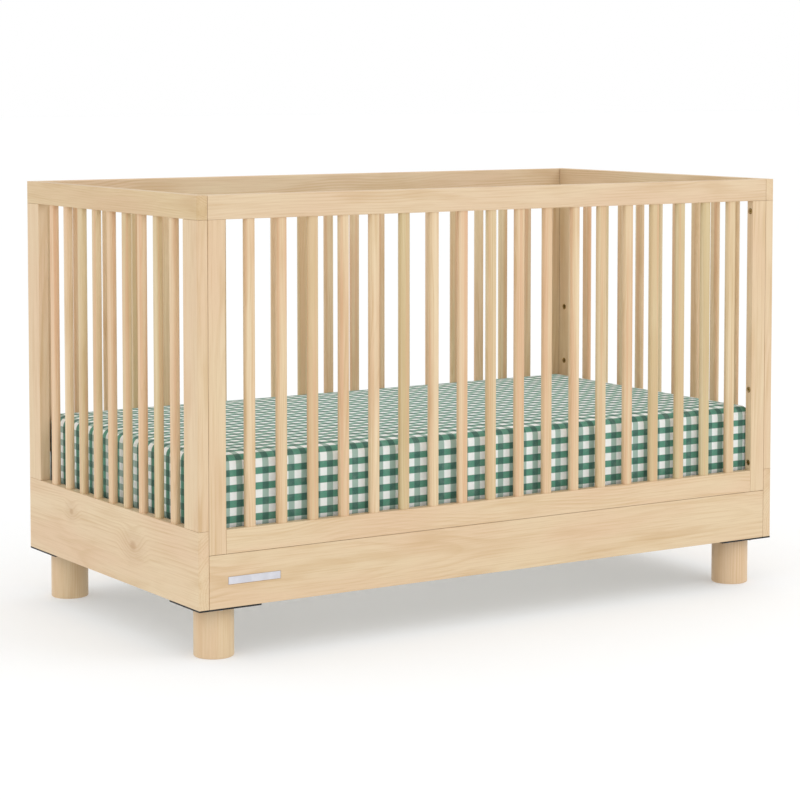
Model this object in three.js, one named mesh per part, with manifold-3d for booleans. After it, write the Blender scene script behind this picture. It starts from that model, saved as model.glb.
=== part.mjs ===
/**
 * Full-size baby crib: two slatted end panels bolted to a slatted front and back frame, on four
 * round legs, with a steel mattress support, a mattress and its fitted sheet.
 *
 * Millimetres. +Z is up, +X runs along the length and -Y is the front. The origin lies on the
 * floor, under the middle of the crib.
 */
import * as THREE from "three";
import { mergeVertices } from "three/addons/utils/BufferGeometryUtils.js";
import Module from "manifold-3d";

const wasm = await Module();
wasm.setup();

// ---- Sleeping space, between the inner faces of the four sides ----------------------------
const INNER_LENGTH = 1330;
const INNER_WIDTH = 711;

// ---- Heights and board sizes --------------------------------------------------------------
const OVERALL_HEIGHT = 860;
const UNDERSIDE_HEIGHT = 100; // floor to the underside of the boards
const END_THICKNESS = 21;
const SIDE_THICKNESS = 18;
const TOP_RAIL_HEIGHT = 45;
const BOTTOM_RAIL_HEIGHT = 45; // long sides only: the end boards reach as high as these rails
const APRON_HEIGHT = 100;
const POST_WIDTH = 57;
const STILE_WIDTH = 36;
const CORNER_RADIUS = 4; // outer upright corners of the end panels
const EDGE_RADIUS = 2.5; // upper edges of the long top rails
const GLUE_LINE = 0.2; // between pieces that meet face to face

// ---- Slats, and the hidden battens that their tenons share -----------------------------------
const SLAT_WIDTH = 22;
const SLAT_DEPTH = 14;
const SLAT_RADIUS = 6;
const SLAT_EDGE_GAP = 43; // from a post or stile to the first slat
const SLAT_GAP_LIMIT = 47; // between slats
const TENON_WIDTH = 16;
const TENON_DEPTH = 8;
const GROOVE_WIDTH = 10.4;
const GROOVE_DEPTH = 8;
const GROOVE_STOP = 12; // solid wood left at the ends of an end panel's grooves

// ---- Bolts that pull each stile against its end post ---------------------------------------
const STILE_BOLT = {
  shankRadius: 3,
  shankLength: 44,
  headRadius: 6,
  headHeight: 4,
  headSides: 12,
  socketRadius: 2.6,
};
const COUNTERBORE_DEPTH = 5;
const LOW_BOLT_ABOVE_BOARD = 16;
const MIDDLE_BOLT_ABOVE_LOW = 155;
const TOP_BOLT_BELOW_RAIL = 22;
const BOLT_CLEARANCE = 0.2; // round a shank or head, and beyond a shank's tip

// ---- Legs --------------------------------------------------------------------------------------
const LEG_RADIUS = 38;
const LEG_EASE = 4;
const LEG_FROM_END = 62; // outer face of the crib to the leg's axis
const LEG_FROM_SIDE = 60;
const LEG_BOLT = {
  shankRadius: 5,
  shankLength: 44,
  headRadius: 9.2,
  headHeight: 6.4,
  headSides: 6,
};
const PLATE_THICKNESS = 3;
const PLATE_ALONG = 131;
const PLATE_ACROSS = 120;
const PLATE_INSET = 1; // from the outer faces of the crib
const PLATE_SCREW_RADIUS = 2.5;
const PLATE_SCREWS_ALONG = [50, 110]; // from the end, into the apron
const PLATE_SCREWS_ACROSS = [48, 102]; // from the side, into the end board

// ---- Blank label plate, let into the front apron -------------------------------------------
const LABEL = { length: 110, height: 14, thickness: 1, fromEnd: 40 };

// ---- Mattress support ----------------------------------------------------------------------
const SUPPORT_LEVELS = 3;
const LEVEL_PITCH = 127;
const LOWEST_LEVEL_ABOVE_BOARD = 36;
const LEVEL_HOLES_FROM_SIDE = 37; // outer face of a long side to the holes in the posts
const LEVEL_HOLE_DEPTH = 15;
const SUPPORT_BOLT = {
  shankRadius: 4,
  shankLength: 17.6,
  headRadius: 8,
  headHeight: 5,
  headSides: 12,
  socketRadius: 3,
};
const DECK_BELOW_BOLT = 53;
const DECK_THICKNESS = 3;
const DECK_BORDER = 12;
const DECK_WIRE = 6;
const DECK_GAP_LIMIT = 125;
const SUPPORT_END_CLEARANCE = 15; // end panel to the steel frame
const SUPPORT_SIDE_CLEARANCE = 15.5; // long side to the steel frame
const ANGLE_LEG = 22;
const ANGLE_THICKNESS = 2.5;
const BRACKET_THICKNESS = 3;
const BRACKET_WIDTH = 35;
const BRACKET_ABOVE_BOLT = 22;
const BRACKET_FOOT = 45;
const BRACKET_SLIDE_GAP = 0.5; // to the post, so that the support lifts freely
const SLOT_CLEARANCE = 0.4; // round the bolt's shank
const HEAD_CLEARANCE = 1; // round the bolt's head, where the foot passes it
const HEAD_END_CLEARANCE = 3; // beyond the end of the bolt's head

// ---- Mattress and fitted sheet -------------------------------------------------------------
const MATTRESS_END_GAP = 9.5;
const MATTRESS_SIDE_GAP = 9.5;
const MATTRESS_THICKNESS = 149;
const MATTRESS_CORNER = 32;
const MATTRESS_ROUNDING = 16;
const SHEET_THICKNESS = 1.2;
const SHEET_HEM = 60; // turned under the mattress
const CLOTH_GAP = 0.3;

// ---- Worked out from the sizes above --------------------------------------------------------
const OUTER_LENGTH = INNER_LENGTH + 2 * END_THICKNESS;
const OUTER_WIDTH = INNER_WIDTH + 2 * SIDE_THICKNESS;
const APRON_TOP = UNDERSIDE_HEIGHT + APRON_HEIGHT;
const BOARD_TOP = APRON_TOP + BOTTOM_RAIL_HEIGHT;
const RAIL_BOTTOM = OVERALL_HEIGHT - TOP_RAIL_HEIGHT;
const LOW_BOLT = BOARD_TOP + LOW_BOLT_ABOVE_BOARD;
const BOLT_LEVELS = {
  low: LOW_BOLT,
  middle: LOW_BOLT + MIDDLE_BOLT_ABOVE_LOW,
  top: RAIL_BOTTOM - TOP_BOLT_BELOW_RAIL,
};
const LOWEST_LEVEL = BOARD_TOP + LOWEST_LEVEL_ABOVE_BOARD;
const DECK_TOP = LOWEST_LEVEL - DECK_BELOW_BOLT;
const SUPPORT_TOP = DECK_TOP - DECK_THICKNESS - GLUE_LINE;
const SUPPORT_BOTTOM = SUPPORT_TOP - ANGLE_LEG;
const POST_HOLE_Y = OUTER_WIDTH / 2 - LEVEL_HOLES_FROM_SIDE;
const PLATE_BOTTOM = UNDERSIDE_HEIGHT - GLUE_LINE - PLATE_THICKNESS;
const MATTRESS_BOTTOM = DECK_TOP + GLUE_LINE + SHEET_THICKNESS + CLOTH_GAP;

const ENDS = { left: -1, right: 1 };
const SIDES = { front: -1, back: 1 };
const CORNER_STEPS = 2; // flats round a wooden corner
const CLOTH_STEPS = 4; // flats round a corner of the mattress
const ROUND_STEPS = 8; // sides of a bore or shank
const SOCKET_SIDES = 6;
const LEG_STEPS = 24;
const PAST = 1; // how far a cutter runs past the face that it cuts

// ---- Finishes ------------------------------------------------------------------------------
const finish = (color, roughness, metalness) =>
  new THREE.MeshStandardMaterial({ color, roughness, metalness });
const WOOD = finish(0xe2cca3, 0.5, 0);
const WOOD_SHADE = finish(0xd9be92, 0.55, 0);
const BLACK_STEEL = finish(0x1c1c1e, 0.45, 0.6);
const ZINC = finish(0xb9bcc0, 0.35, 0.9);
const SILVER = finish(0xe6e8ee, 0.4, 0.5);
const TICKING = finish(0xf2f1ec, 0.95, 0);
const GINGHAM = finish(0x8fb8a6, 0.95, 0);

// ---- Shape helpers -------------------------------------------------------------------------

/** Turns a closed geometry into a solid that can be cut and joined. */
function solidOf(geometry) {
  geometry.deleteAttribute("normal");
  geometry.deleteAttribute("uv");
  const merged = mergeVertices(geometry, 1e-4);
  return new wasm.Manifold(
    new wasm.Mesh({
      numProp: 3,
      vertProperties: merged.attributes.position.array,
      triVerts: new Uint32Array(merged.index.array),
    }),
  );
}

/** Turns a solid back into a flat-shaded geometry. */
function geometryOf(solid) {
  const { vertProperties, triVerts } = solid.getMesh();
  const indexed = new THREE.BufferGeometry();
  indexed.setAttribute("position", new THREE.BufferAttribute(vertProperties, 3));
  indexed.setIndex(new THREE.BufferAttribute(triVerts, 1));
  const flat = indexed.toNonIndexed();
  flat.computeVertexNormals();
  return flat;
}

/** A box between two opposite corners, given in any order. */
function box([xa, ya, za], [xb, yb, zb]) {
  const size = [Math.abs(xb - xa), Math.abs(yb - ya), Math.abs(zb - za)];
  const geometry = new THREE.BoxGeometry(...size);
  return solidOf(geometry.translate((xa + xb) / 2, (ya + yb) / 2, (za + zb) / 2));
}

/** Outline of a rectangle with its own radius at each corner, anticlockwise from (low, low). */
function roundedOutline([ua, va], [ub, vb], radii, steps = CORNER_STEPS) {
  const [u0, u1] = [Math.min(ua, ub), Math.max(ua, ub)];
  const [v0, v1] = [Math.min(va, vb), Math.max(va, vb)];
  const corners = [
    [u0, v0],
    [u1, v0],
    [u1, v1],
    [u0, v1],
  ];
  const points = corners.flatMap(([u, v], i) => {
    const radius = radii[i];
    if (radius === 0) return [new THREE.Vector2(u, v)];
    const centre = [u === u0 ? u + radius : u - radius, v === v0 ? v + radius : v - radius];
    return Array.from({ length: steps + 1 }, (_, k) => {
      const angle = (Math.PI / 2) * (2 + i + k / steps);
      const [across, up] = [radius * Math.cos(angle), radius * Math.sin(angle)];
      return new THREE.Vector2(centre[0] + across, centre[1] + up);
    });
  });
  return new THREE.Shape(points);
}

const AXES = {
  // Outline's two directions, then the direction that it is pushed along.
  x: [new THREE.Vector3(0, 1, 0), new THREE.Vector3(0, 0, 1), new THREE.Vector3(1, 0, 0)],
  z: [new THREE.Vector3(1, 0, 0), new THREE.Vector3(0, 1, 0), new THREE.Vector3(0, 0, 1)],
};

/** An outline pushed from one place to another along X (outline in Y, Z) or Z (in X, Y). */
function prism(outline, axis, from, to) {
  const depth = Math.abs(to - from);
  const geometry = new THREE.ExtrudeGeometry(outline, { depth, bevelEnabled: false });
  geometry.translate(0, 0, Math.min(from, to));
  return solidOf(geometry.applyMatrix4(new THREE.Matrix4().makeBasis(...AXES[axis])));
}

/** A round bar along X from one place to another. */
function barAlongX(radius, [y, z], from, to, steps = ROUND_STEPS) {
  const geometry = new THREE.CylinderGeometry(radius, radius, Math.abs(to - from), steps);
  return solidOf(geometry.rotateZ(Math.PI / 2).translate((from + to) / 2, y, z));
}

/** A round bar along Z from one place to another. */
function barAlongZ(radius, [x, y], from, to, steps = ROUND_STEPS) {
  const geometry = new THREE.CylinderGeometry(radius, radius, Math.abs(to - from), steps);
  return solidOf(geometry.rotateX(Math.PI / 2).translate(x, y, (from + to) / 2));
}

/** A socket-head bolt with its head's underside at the origin and its shank towards `end`. */
function boltAlongX(bolt, end) {
  const middle = [0, 0];
  const shank = barAlongX(bolt.shankRadius, middle, -end * PAST, end * bolt.shankLength);
  const head = barAlongX(bolt.headRadius, middle, -end * bolt.headHeight, 0, bolt.headSides);
  const [mouth, bottom] = [-end * (bolt.headHeight + PAST), (-end * bolt.headHeight) / 2];
  return head.add(shank).subtract(barAlongX(bolt.socketRadius, middle, mouth, bottom, SOCKET_SIDES));
}

/** A named part of the crib. */
function part(name, solid, material, place = [0, 0, 0]) {
  const mesh = new THREE.Mesh(geometryOf(solid), material);
  mesh.name = name;
  mesh.position.set(...place);
  return mesh;
}

/** A group of parts that share one place. */
function assembly(place, parts) {
  const group = new THREE.Group();
  group.position.set(...place);
  group.add(...parts);
  return group;
}

/** Middles of evenly spaced bars across a clear span that is centred on zero. */
function slatPlaces(clearSpan) {
  const reach = clearSpan - 2 * SLAT_EDGE_GAP - SLAT_WIDTH;
  const steps = Math.ceil(reach / (SLAT_WIDTH + SLAT_GAP_LIMIT));
  return Array.from({ length: steps + 1 }, (_, i) => reach * (i / steps - 1 / 2));
}

/**
 * Slats in a row, each tenoned into a batten that runs above and below them in a groove.
 * `turn` gives the point for a place along the row and a place across it.
 */
function slatRow(clearSpan, turn) {
  const [low, high] = [BOARD_TOP + GLUE_LINE, RAIL_BOTTOM - GLUE_LINE];
  const battenHeight = GROOVE_DEPTH - 2 * GLUE_LINE;
  const half = clearSpan / 2 - GLUE_LINE;
  const slatRadii = [SLAT_RADIUS, SLAT_RADIUS, SLAT_RADIUS, SLAT_RADIUS];
  const across = GROOVE_WIDTH / 2 - GLUE_LINE;
  const battenAt = (from, to) => box([...turn(-half, -across), from], [...turn(half, across), to]);
  const bars = slatPlaces(clearSpan).flatMap((place) => {
    const cornerOf = (sign, width, depth) => turn(place + (sign * width) / 2, (sign * depth) / 2);
    const outline = roundedOutline(
      cornerOf(-1, SLAT_WIDTH, SLAT_DEPTH),
      cornerOf(1, SLAT_WIDTH, SLAT_DEPTH),
      slatRadii,
    );
    const reach = GLUE_LINE * 2 + battenHeight / 2;
    return [
      prism(outline, "z", low, high),
      box(
        [...cornerOf(-1, TENON_WIDTH, TENON_DEPTH), low - reach],
        [...cornerOf(1, TENON_WIDTH, TENON_DEPTH), high + reach],
      ),
    ];
  });
  const battens = [
    battenAt(low - 2 * GLUE_LINE - battenHeight, low - 2 * GLUE_LINE),
    battenAt(high + 2 * GLUE_LINE, high + 2 * GLUE_LINE + battenHeight),
  ];
  return wasm.Manifold.union([...bars, ...battens]);
}

// ---- End panels ----------------------------------------------------------------------------

/** Board or top rail across an end, grooved from `grooveBottom` to `grooveTop` above the floor. */
function endBoard(end, [bottom, top], [grooveBottom, grooveTop]) {
  const half = OUTER_WIDTH / 2;
  const radii = end > 0 ? [0, CORNER_RADIUS, CORNER_RADIUS, 0] : [CORNER_RADIUS, 0, 0, CORNER_RADIUS];
  const outline = roundedOutline([0, -half], [end * END_THICKNESS, half], radii);
  const middle = (end * END_THICKNESS) / 2;
  const groove = box(
    [middle - GROOVE_WIDTH / 2, GROOVE_STOP - half, grooveBottom],
    [middle + GROOVE_WIDTH / 2, half - GROOVE_STOP, grooveTop],
  );
  return prism(outline, "z", bottom, top).subtract(groove);
}

/** Post at one side of an end panel, with tongues for the grooves and holes for the bolts. */
function endPost(end, side) {
  const [low, high] = [BOARD_TOP + GLUE_LINE, RAIL_BOTTOM - GLUE_LINE];
  const [inner, outer] = [side * (OUTER_WIDTH / 2 - POST_WIDTH), (side * OUTER_WIDTH) / 2];
  const cornerIndex = end > 0 ? (side > 0 ? 2 : 1) : side > 0 ? 3 : 0;
  const radii = [0, 1, 2, 3].map((i) => (i === cornerIndex ? CORNER_RADIUS : 0));
  const middle = (end * END_THICKNESS) / 2;
  const tongueHalf = GROOVE_WIDTH / 2 - GLUE_LINE;
  const tongueReach = GROOVE_DEPTH - GLUE_LINE;
  const tongue = box(
    [middle - tongueHalf, inner, low - tongueReach],
    [middle + tongueHalf, outer - side * (GROOVE_STOP + GLUE_LINE), high + tongueReach],
  );
  const body = prism(roundedOutline([0, inner], [end * END_THICKNESS, outer], radii), "z", low, high);
  const stileHole = (z) => {
    const y = side * (OUTER_WIDTH / 2 - SIDE_THICKNESS / 2);
    const tip = COUNTERBORE_DEPTH + STILE_BOLT.shankLength - STILE_WIDTH + BOLT_CLEARANCE;
    return barAlongX(STILE_BOLT.shankRadius + BOLT_CLEARANCE, [y, z], -end * PAST, end * tip);
  };
  const levelHole = (_, level) => {
    const z = LOWEST_LEVEL + level * LEVEL_PITCH;
    const radius = SUPPORT_BOLT.shankRadius + BOLT_CLEARANCE;
    return barAlongX(radius, [side * POST_HOLE_Y, z], -end * PAST, end * LEVEL_HOLE_DEPTH);
  };
  const levelHoles = Array.from({ length: SUPPORT_LEVELS }, levelHole);
  return wasm.Manifold.difference([
    body.add(tongue),
    ...Object.values(BOLT_LEVELS).map(stileHole),
    ...levelHoles,
  ]);
}

function endPanel(endName) {
  const end = ENDS[endName];
  const middle = (end * END_THICKNESS) / 2;
  const clearSpan = OUTER_WIDTH - 2 * POST_WIDTH;
  const posts = Object.entries(SIDES).map(([sideName, side]) =>
    part(`${endName}_end_${sideName}_post`, endPost(end, side), WOOD),
  );
  const boardGroove = [BOARD_TOP - GROOVE_DEPTH, BOARD_TOP + PAST];
  const railGroove = [RAIL_BOTTOM - PAST, RAIL_BOTTOM + GROOVE_DEPTH];
  const board = endBoard(end, [UNDERSIDE_HEIGHT, BOARD_TOP], boardGroove);
  const topRail = endBoard(end, [RAIL_BOTTOM, OVERALL_HEIGHT], railGroove);
  return assembly([(end * INNER_LENGTH) / 2, 0, 0], [
    part(`${endName}_end_board`, board, WOOD),
    part(`${endName}_end_top_rail`, topRail, WOOD_SHADE),
    part(`${endName}_end_slats`, slatRow(clearSpan, (along, across) => [middle + across, along]), WOOD),
    ...posts,
  ]);
}

// ---- Front and back frames -----------------------------------------------------------------

const FRAME_HALF_LENGTH = INNER_LENGTH / 2 - GLUE_LINE;
const FRAME_CLEAR_SPAN = 2 * (FRAME_HALF_LENGTH - STILE_WIDTH);

function frameTopRail() {
  const half = SIDE_THICKNESS / 2;
  const radii = [0, 0, EDGE_RADIUS, EDGE_RADIUS];
  const outline = roundedOutline([-half, RAIL_BOTTOM], [half, OVERALL_HEIGHT], radii);
  const groove = box(
    [-FRAME_HALF_LENGTH - PAST, -GROOVE_WIDTH / 2, RAIL_BOTTOM - PAST],
    [FRAME_HALF_LENGTH + PAST, GROOVE_WIDTH / 2, RAIL_BOTTOM + GROOVE_DEPTH],
  );
  return prism(outline, "x", -FRAME_HALF_LENGTH, FRAME_HALF_LENGTH).subtract(groove);
}

function frameBottomRail() {
  const [halfLength, half] = [FRAME_CLEAR_SPAN / 2 - GLUE_LINE, SIDE_THICKNESS / 2];
  const groove = box(
    [-halfLength - PAST, -GROOVE_WIDTH / 2, BOARD_TOP - GROOVE_DEPTH],
    [halfLength + PAST, GROOVE_WIDTH / 2, BOARD_TOP + PAST],
  );
  const rail = box([-halfLength, -half, APRON_TOP + GLUE_LINE], [halfLength, half, BOARD_TOP]);
  return rail.subtract(groove);
}

/** Upright at one end of a long frame, tongued into the top rail and bored for its bolts. */
function frameStile(end) {
  const half = SIDE_THICKNESS / 2;
  const [inner, outer] = [(end * FRAME_CLEAR_SPAN) / 2, end * FRAME_HALF_LENGTH];
  const top = RAIL_BOTTOM - GLUE_LINE;
  const tongueHalf = GROOVE_WIDTH / 2 - GLUE_LINE;
  const tongueTop = RAIL_BOTTOM + GROOVE_DEPTH - GLUE_LINE;
  const tongue = box([inner, -tongueHalf, top - PAST], [outer, tongueHalf, tongueTop]);
  const body = box([inner, -half, APRON_TOP + GLUE_LINE], [outer, half, top]);
  const holes = Object.values(BOLT_LEVELS).flatMap((z) => [
    barAlongX(STILE_BOLT.shankRadius + BOLT_CLEARANCE, [0, z], inner - end * PAST, outer + end * PAST),
    barAlongX(
      STILE_BOLT.headRadius + BOLT_CLEARANCE,
      [0, z],
      inner - end * PAST,
      inner + end * COUNTERBORE_DEPTH,
      STILE_BOLT.headSides,
    ),
  ]);
  return wasm.Manifold.difference([body.add(tongue), ...holes]);
}

/** The label plate, flush with the apron's face, or with a clearance the recess that it sits in. */
function labelSolid(face, clearance) {
  const start = LABEL.fromEnd - FRAME_HALF_LENGTH;
  const bottom = UNDERSIDE_HEIGHT + (APRON_HEIGHT - LABEL.height) / 2;
  const [back, top] = [face + LABEL.thickness, bottom + LABEL.height];
  return box(
    [start - clearance, face - clearance, bottom - clearance],
    [start + LABEL.length + clearance, back + clearance, top + clearance],
  );
}

function apron() {
  const half = SIDE_THICKNESS / 2;
  return box([-FRAME_HALF_LENGTH, -half, UNDERSIDE_HEIGHT], [FRAME_HALF_LENGTH, half, APRON_TOP]);
}

function longFrame(sideName) {
  const side = SIDES[sideName];
  const front = -SIDE_THICKNESS / 2;
  const recess = labelSolid(front, GLUE_LINE);
  const parts = [
    part(`${sideName}_top_rail`, frameTopRail(), WOOD),
    part(`${sideName}_bottom_rail`, frameBottomRail(), WOOD),
    part(`${sideName}_slats`, slatRow(FRAME_CLEAR_SPAN, (along, across) => [along, across]), WOOD),
    part(`${sideName}_apron`, side < 0 ? apron().subtract(recess) : apron(), WOOD_SHADE),
  ];
  for (const [endName, end] of Object.entries(ENDS)) {
    parts.push(part(`${sideName}_${endName}_stile`, frameStile(end), WOOD));
    const seat = end * (FRAME_CLEAR_SPAN / 2 + COUNTERBORE_DEPTH - BOLT_CLEARANCE);
    for (const [levelName, z] of Object.entries(BOLT_LEVELS)) {
      const name = `${sideName}_${endName}_stile_bolt_${levelName}`;
      parts.push(part(name, boltAlongX(STILE_BOLT, end), ZINC, [seat, 0, z]));
    }
  }
  if (side < 0) parts.push(part("label_plate", labelSolid(front, 0), SILVER));
  return assembly([0, (side * (INNER_WIDTH + SIDE_THICKNESS)) / 2, 0], parts);
}

// ---- Legs and their plates -----------------------------------------------------------------

/** Round leg with an eased lower edge and a hole down from its top for the bolt. */
function leg(height) {
  const hole = LEG_BOLT.shankRadius + BOLT_CLEARANCE;
  const holeBottom = height - LEG_BOLT.shankLength;
  const profile = [new THREE.Vector2(0, 0)];
  for (let k = 0; k <= CORNER_STEPS; k++) {
    const angle = (Math.PI / 2) * (k / CORNER_STEPS);
    const across = LEG_RADIUS - LEG_EASE * (1 - Math.sin(angle));
    profile.push(new THREE.Vector2(across, LEG_EASE * (1 - Math.cos(angle))));
  }
  profile.push(new THREE.Vector2(LEG_RADIUS, height));
  profile.push(new THREE.Vector2(hole, height));
  profile.push(new THREE.Vector2(hole, holeBottom));
  profile.push(new THREE.Vector2(0, holeBottom));
  return solidOf(new THREE.LatheGeometry(profile, LEG_STEPS).rotateX(Math.PI / 2));
}

/** Steel plate under a corner, bored for the leg's bolt and for four wood screws. */
function legPlate(end, side) {
  const [atEnd, atSide] = [(end * OUTER_LENGTH) / 2, (side * OUTER_WIDTH) / 2];
  const from = [atEnd - end * PLATE_INSET, atSide - side * PLATE_INSET, PLATE_BOTTOM];
  const to = [atEnd - end * PLATE_ALONG, atSide - side * PLATE_ACROSS, PLATE_BOTTOM + PLATE_THICKNESS];
  const [belowPlate, abovePlate] = [PLATE_BOTTOM - PAST, UNDERSIDE_HEIGHT + PAST];
  const boltHole = barAlongZ(
    LEG_BOLT.shankRadius + BOLT_CLEARANCE,
    [atEnd - end * LEG_FROM_END, atSide - side * LEG_FROM_SIDE],
    belowPlate,
    abovePlate,
  );
  const screwPlaces = [
    ...PLATE_SCREWS_ALONG.map((along) => [atEnd - end * along, atSide - (side * SIDE_THICKNESS) / 2]),
    ...PLATE_SCREWS_ACROSS.map((across) => [atEnd - (end * END_THICKNESS) / 2, atSide - side * across]),
  ];
  const screwHoles = screwPlaces.map((place) => barAlongZ(PLATE_SCREW_RADIUS, place, belowPlate, abovePlate));
  return wasm.Manifold.difference([box(from, to), boltHole, ...screwHoles]);
}

/** Hex bolt that passes down through the plate and into the leg. */
function legBolt() {
  const underHead = UNDERSIDE_HEIGHT;
  const shank = barAlongZ(LEG_BOLT.shankRadius, [0, 0], underHead + PAST, underHead - LEG_BOLT.shankLength);
  const headTop = underHead + LEG_BOLT.headHeight;
  return shank.add(barAlongZ(LEG_BOLT.headRadius, [0, 0], underHead, headTop, LEG_BOLT.headSides));
}

function cornerLeg(endName, sideName) {
  const [end, side] = [ENDS[endName], SIDES[sideName]];
  const name = `${sideName}_${endName}`;
  const axis = [end * (OUTER_LENGTH / 2 - LEG_FROM_END), side * (OUTER_WIDTH / 2 - LEG_FROM_SIDE), 0];
  return assembly([0, 0, 0], [
    part(`${name}_leg`, leg(PLATE_BOTTOM - GLUE_LINE), WOOD_SHADE, axis),
    part(`${name}_leg_plate`, legPlate(end, side), BLACK_STEEL),
    part(`${name}_leg_bolt`, legBolt(), ZINC, axis),
  ]);
}

// ---- Mattress support ----------------------------------------------------------------------

const SUPPORT_HALF = [INNER_LENGTH / 2 - SUPPORT_END_CLEARANCE, INNER_WIDTH / 2 - SUPPORT_SIDE_CLEARANCE];

/** A rectangular box about the vertical axis, smaller all round by an inset. */
function supportBox(inset, bottom, top) {
  const [halfLength, halfWidth] = SUPPORT_HALF;
  return box([inset - halfLength, inset - halfWidth, bottom], [halfLength - inset, halfWidth - inset, top]);
}

/** Welded frame of steel angle: a flat flange on top and a web down its outer edge. */
function supportFrame() {
  const flangeBottom = SUPPORT_TOP - ANGLE_THICKNESS;
  return wasm.Manifold.difference([
    supportBox(0, SUPPORT_BOTTOM, SUPPORT_TOP),
    supportBox(ANGLE_THICKNESS, SUPPORT_BOTTOM - PAST, flangeBottom),
    supportBox(ANGLE_LEG, SUPPORT_BOTTOM - PAST, SUPPORT_TOP + PAST),
  ]);
}

/** Start and end of each opening across the deck, between its border and its bars. */
function deckOpenings(half) {
  const span = 2 * (half - DECK_BORDER);
  const count = Math.ceil((span + DECK_WIRE) / (DECK_GAP_LIMIT + DECK_WIRE));
  const gap = (span - (count - 1) * DECK_WIRE) / count;
  return Array.from({ length: count }, (_, i) => {
    const start = DECK_BORDER - half + i * (gap + DECK_WIRE);
    return [start, start + gap];
  });
}

/** Open steel deck on the frame's flange: crossing bars inside a border. */
function supportDeck() {
  const [halfLength, halfWidth] = SUPPORT_HALF;
  const [bottom, top] = [DECK_TOP - DECK_THICKNESS, DECK_TOP];
  const openings = deckOpenings(halfLength).flatMap(([x0, x1]) =>
    deckOpenings(halfWidth).map(([y0, y1]) => box([x0, y0, bottom - PAST], [x1, y1, top + PAST])),
  );
  return wasm.Manifold.difference([supportBox(0, bottom, top), ...openings]);
}

/** Hook bracket: a plate whose slot drops over the bolt, and a foot under the frame's corner. */
function supportBracket(end, side) {
  const post = (end * INNER_LENGTH) / 2;
  const outer = post - end * BRACKET_SLIDE_GAP;
  const inner = outer - end * BRACKET_THICKNESS;
  const [y0, y1] = [side * POST_HOLE_Y - BRACKET_WIDTH / 2, side * POST_HOLE_Y + BRACKET_WIDTH / 2];
  const footTop = SUPPORT_BOTTOM - GLUE_LINE;
  const footBottom = footTop - BRACKET_THICKNESS;
  const slotRadius = SUPPORT_BOLT.shankRadius + SLOT_CLEARANCE;
  const notchHalf = SUPPORT_BOLT.headRadius + HEAD_CLEARANCE;
  const notchEnd = inner - end * (SUPPORT_BOLT.headHeight + GLUE_LINE + HEAD_END_CLEARANCE);
  const y = side * POST_HOLE_Y;
  const [cutFrom, cutTo, cutBottom] = [outer + end * PAST, inner - end * PAST, footBottom - PAST];
  const upright = box([outer, y0, footBottom], [inner, y1, LOWEST_LEVEL + BRACKET_ABOVE_BOLT]);
  const foot = box([outer, y0, footBottom], [post - end * BRACKET_FOOT, y1, footTop]);
  return wasm.Manifold.difference([
    upright.add(foot),
    box([cutFrom, y - slotRadius, cutBottom], [cutTo, y + slotRadius, LOWEST_LEVEL]),
    barAlongX(slotRadius, [y, LOWEST_LEVEL], cutFrom, cutTo),
    box([cutFrom, y - notchHalf, cutBottom], [notchEnd, y + notchHalf, footTop + PAST]),
  ]);
}

/** Bolts in the lowest holes of the posts; the brackets' slots hang on their shanks. */
function supportBolts() {
  const seat = INNER_LENGTH / 2 - BRACKET_SLIDE_GAP - BRACKET_THICKNESS - GLUE_LINE;
  return Object.entries(ENDS).flatMap(([endName, end]) =>
    Object.entries(SIDES).map(([sideName, side]) =>
      part(`${sideName}_${endName}_support_bolt`, boltAlongX(SUPPORT_BOLT, end), ZINC, [
        end * seat,
        side * POST_HOLE_Y,
        LOWEST_LEVEL,
      ]),
    ),
  );
}

function support() {
  const brackets = Object.entries(ENDS).flatMap(([endName, end]) =>
    Object.entries(SIDES).map(([sideName, side]) =>
      part(`${sideName}_${endName}_support_bracket`, supportBracket(end, side), ZINC),
    ),
  );
  return assembly([0, 0, 0], [
    part("support_frame", supportFrame(), ZINC),
    part("support_deck", supportDeck(), ZINC),
    ...brackets,
  ]);
}

// ---- Mattress and sheet --------------------------------------------------------------------

/** A block with rounded upright corners and rolled edges, `grow` larger than the mattress. */
function mattressShape(grow) {
  const half = [INNER_LENGTH / 2 - MATTRESS_END_GAP + grow, INNER_WIDTH / 2 - MATTRESS_SIDE_GAP + grow];
  const roll = MATTRESS_ROUNDING + grow;
  const corner = MATTRESS_CORNER + grow - roll;
  const flat = [half[0] - roll, half[1] - roll];
  const corners = [corner, corner, corner, corner];
  const outline = roundedOutline([-flat[0], -flat[1]], flat, corners, CLOTH_STEPS);
  const geometry = new THREE.ExtrudeGeometry(outline, {
    depth: MATTRESS_THICKNESS + 2 * grow - 2 * roll,
    bevelThickness: roll,
    bevelSize: roll,
    bevelSegments: CLOTH_STEPS - 1,
  });
  return solidOf(geometry.translate(0, 0, MATTRESS_BOTTOM - grow + roll));
}

/** Fitted sheet: a skin over the mattress, turned under it all round. */
function fittedSheet() {
  const opening = [
    INNER_LENGTH / 2 - MATTRESS_END_GAP - SHEET_HEM,
    INNER_WIDTH / 2 - MATTRESS_SIDE_GAP - SHEET_HEM,
  ];
  return wasm.Manifold.difference([
    mattressShape(CLOTH_GAP + SHEET_THICKNESS),
    mattressShape(CLOTH_GAP),
    box([-opening[0], -opening[1], DECK_TOP - PAST], [...opening, MATTRESS_BOTTOM + PAST]),
  ]);
}

// ---- The crib ------------------------------------------------------------------------------

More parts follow.
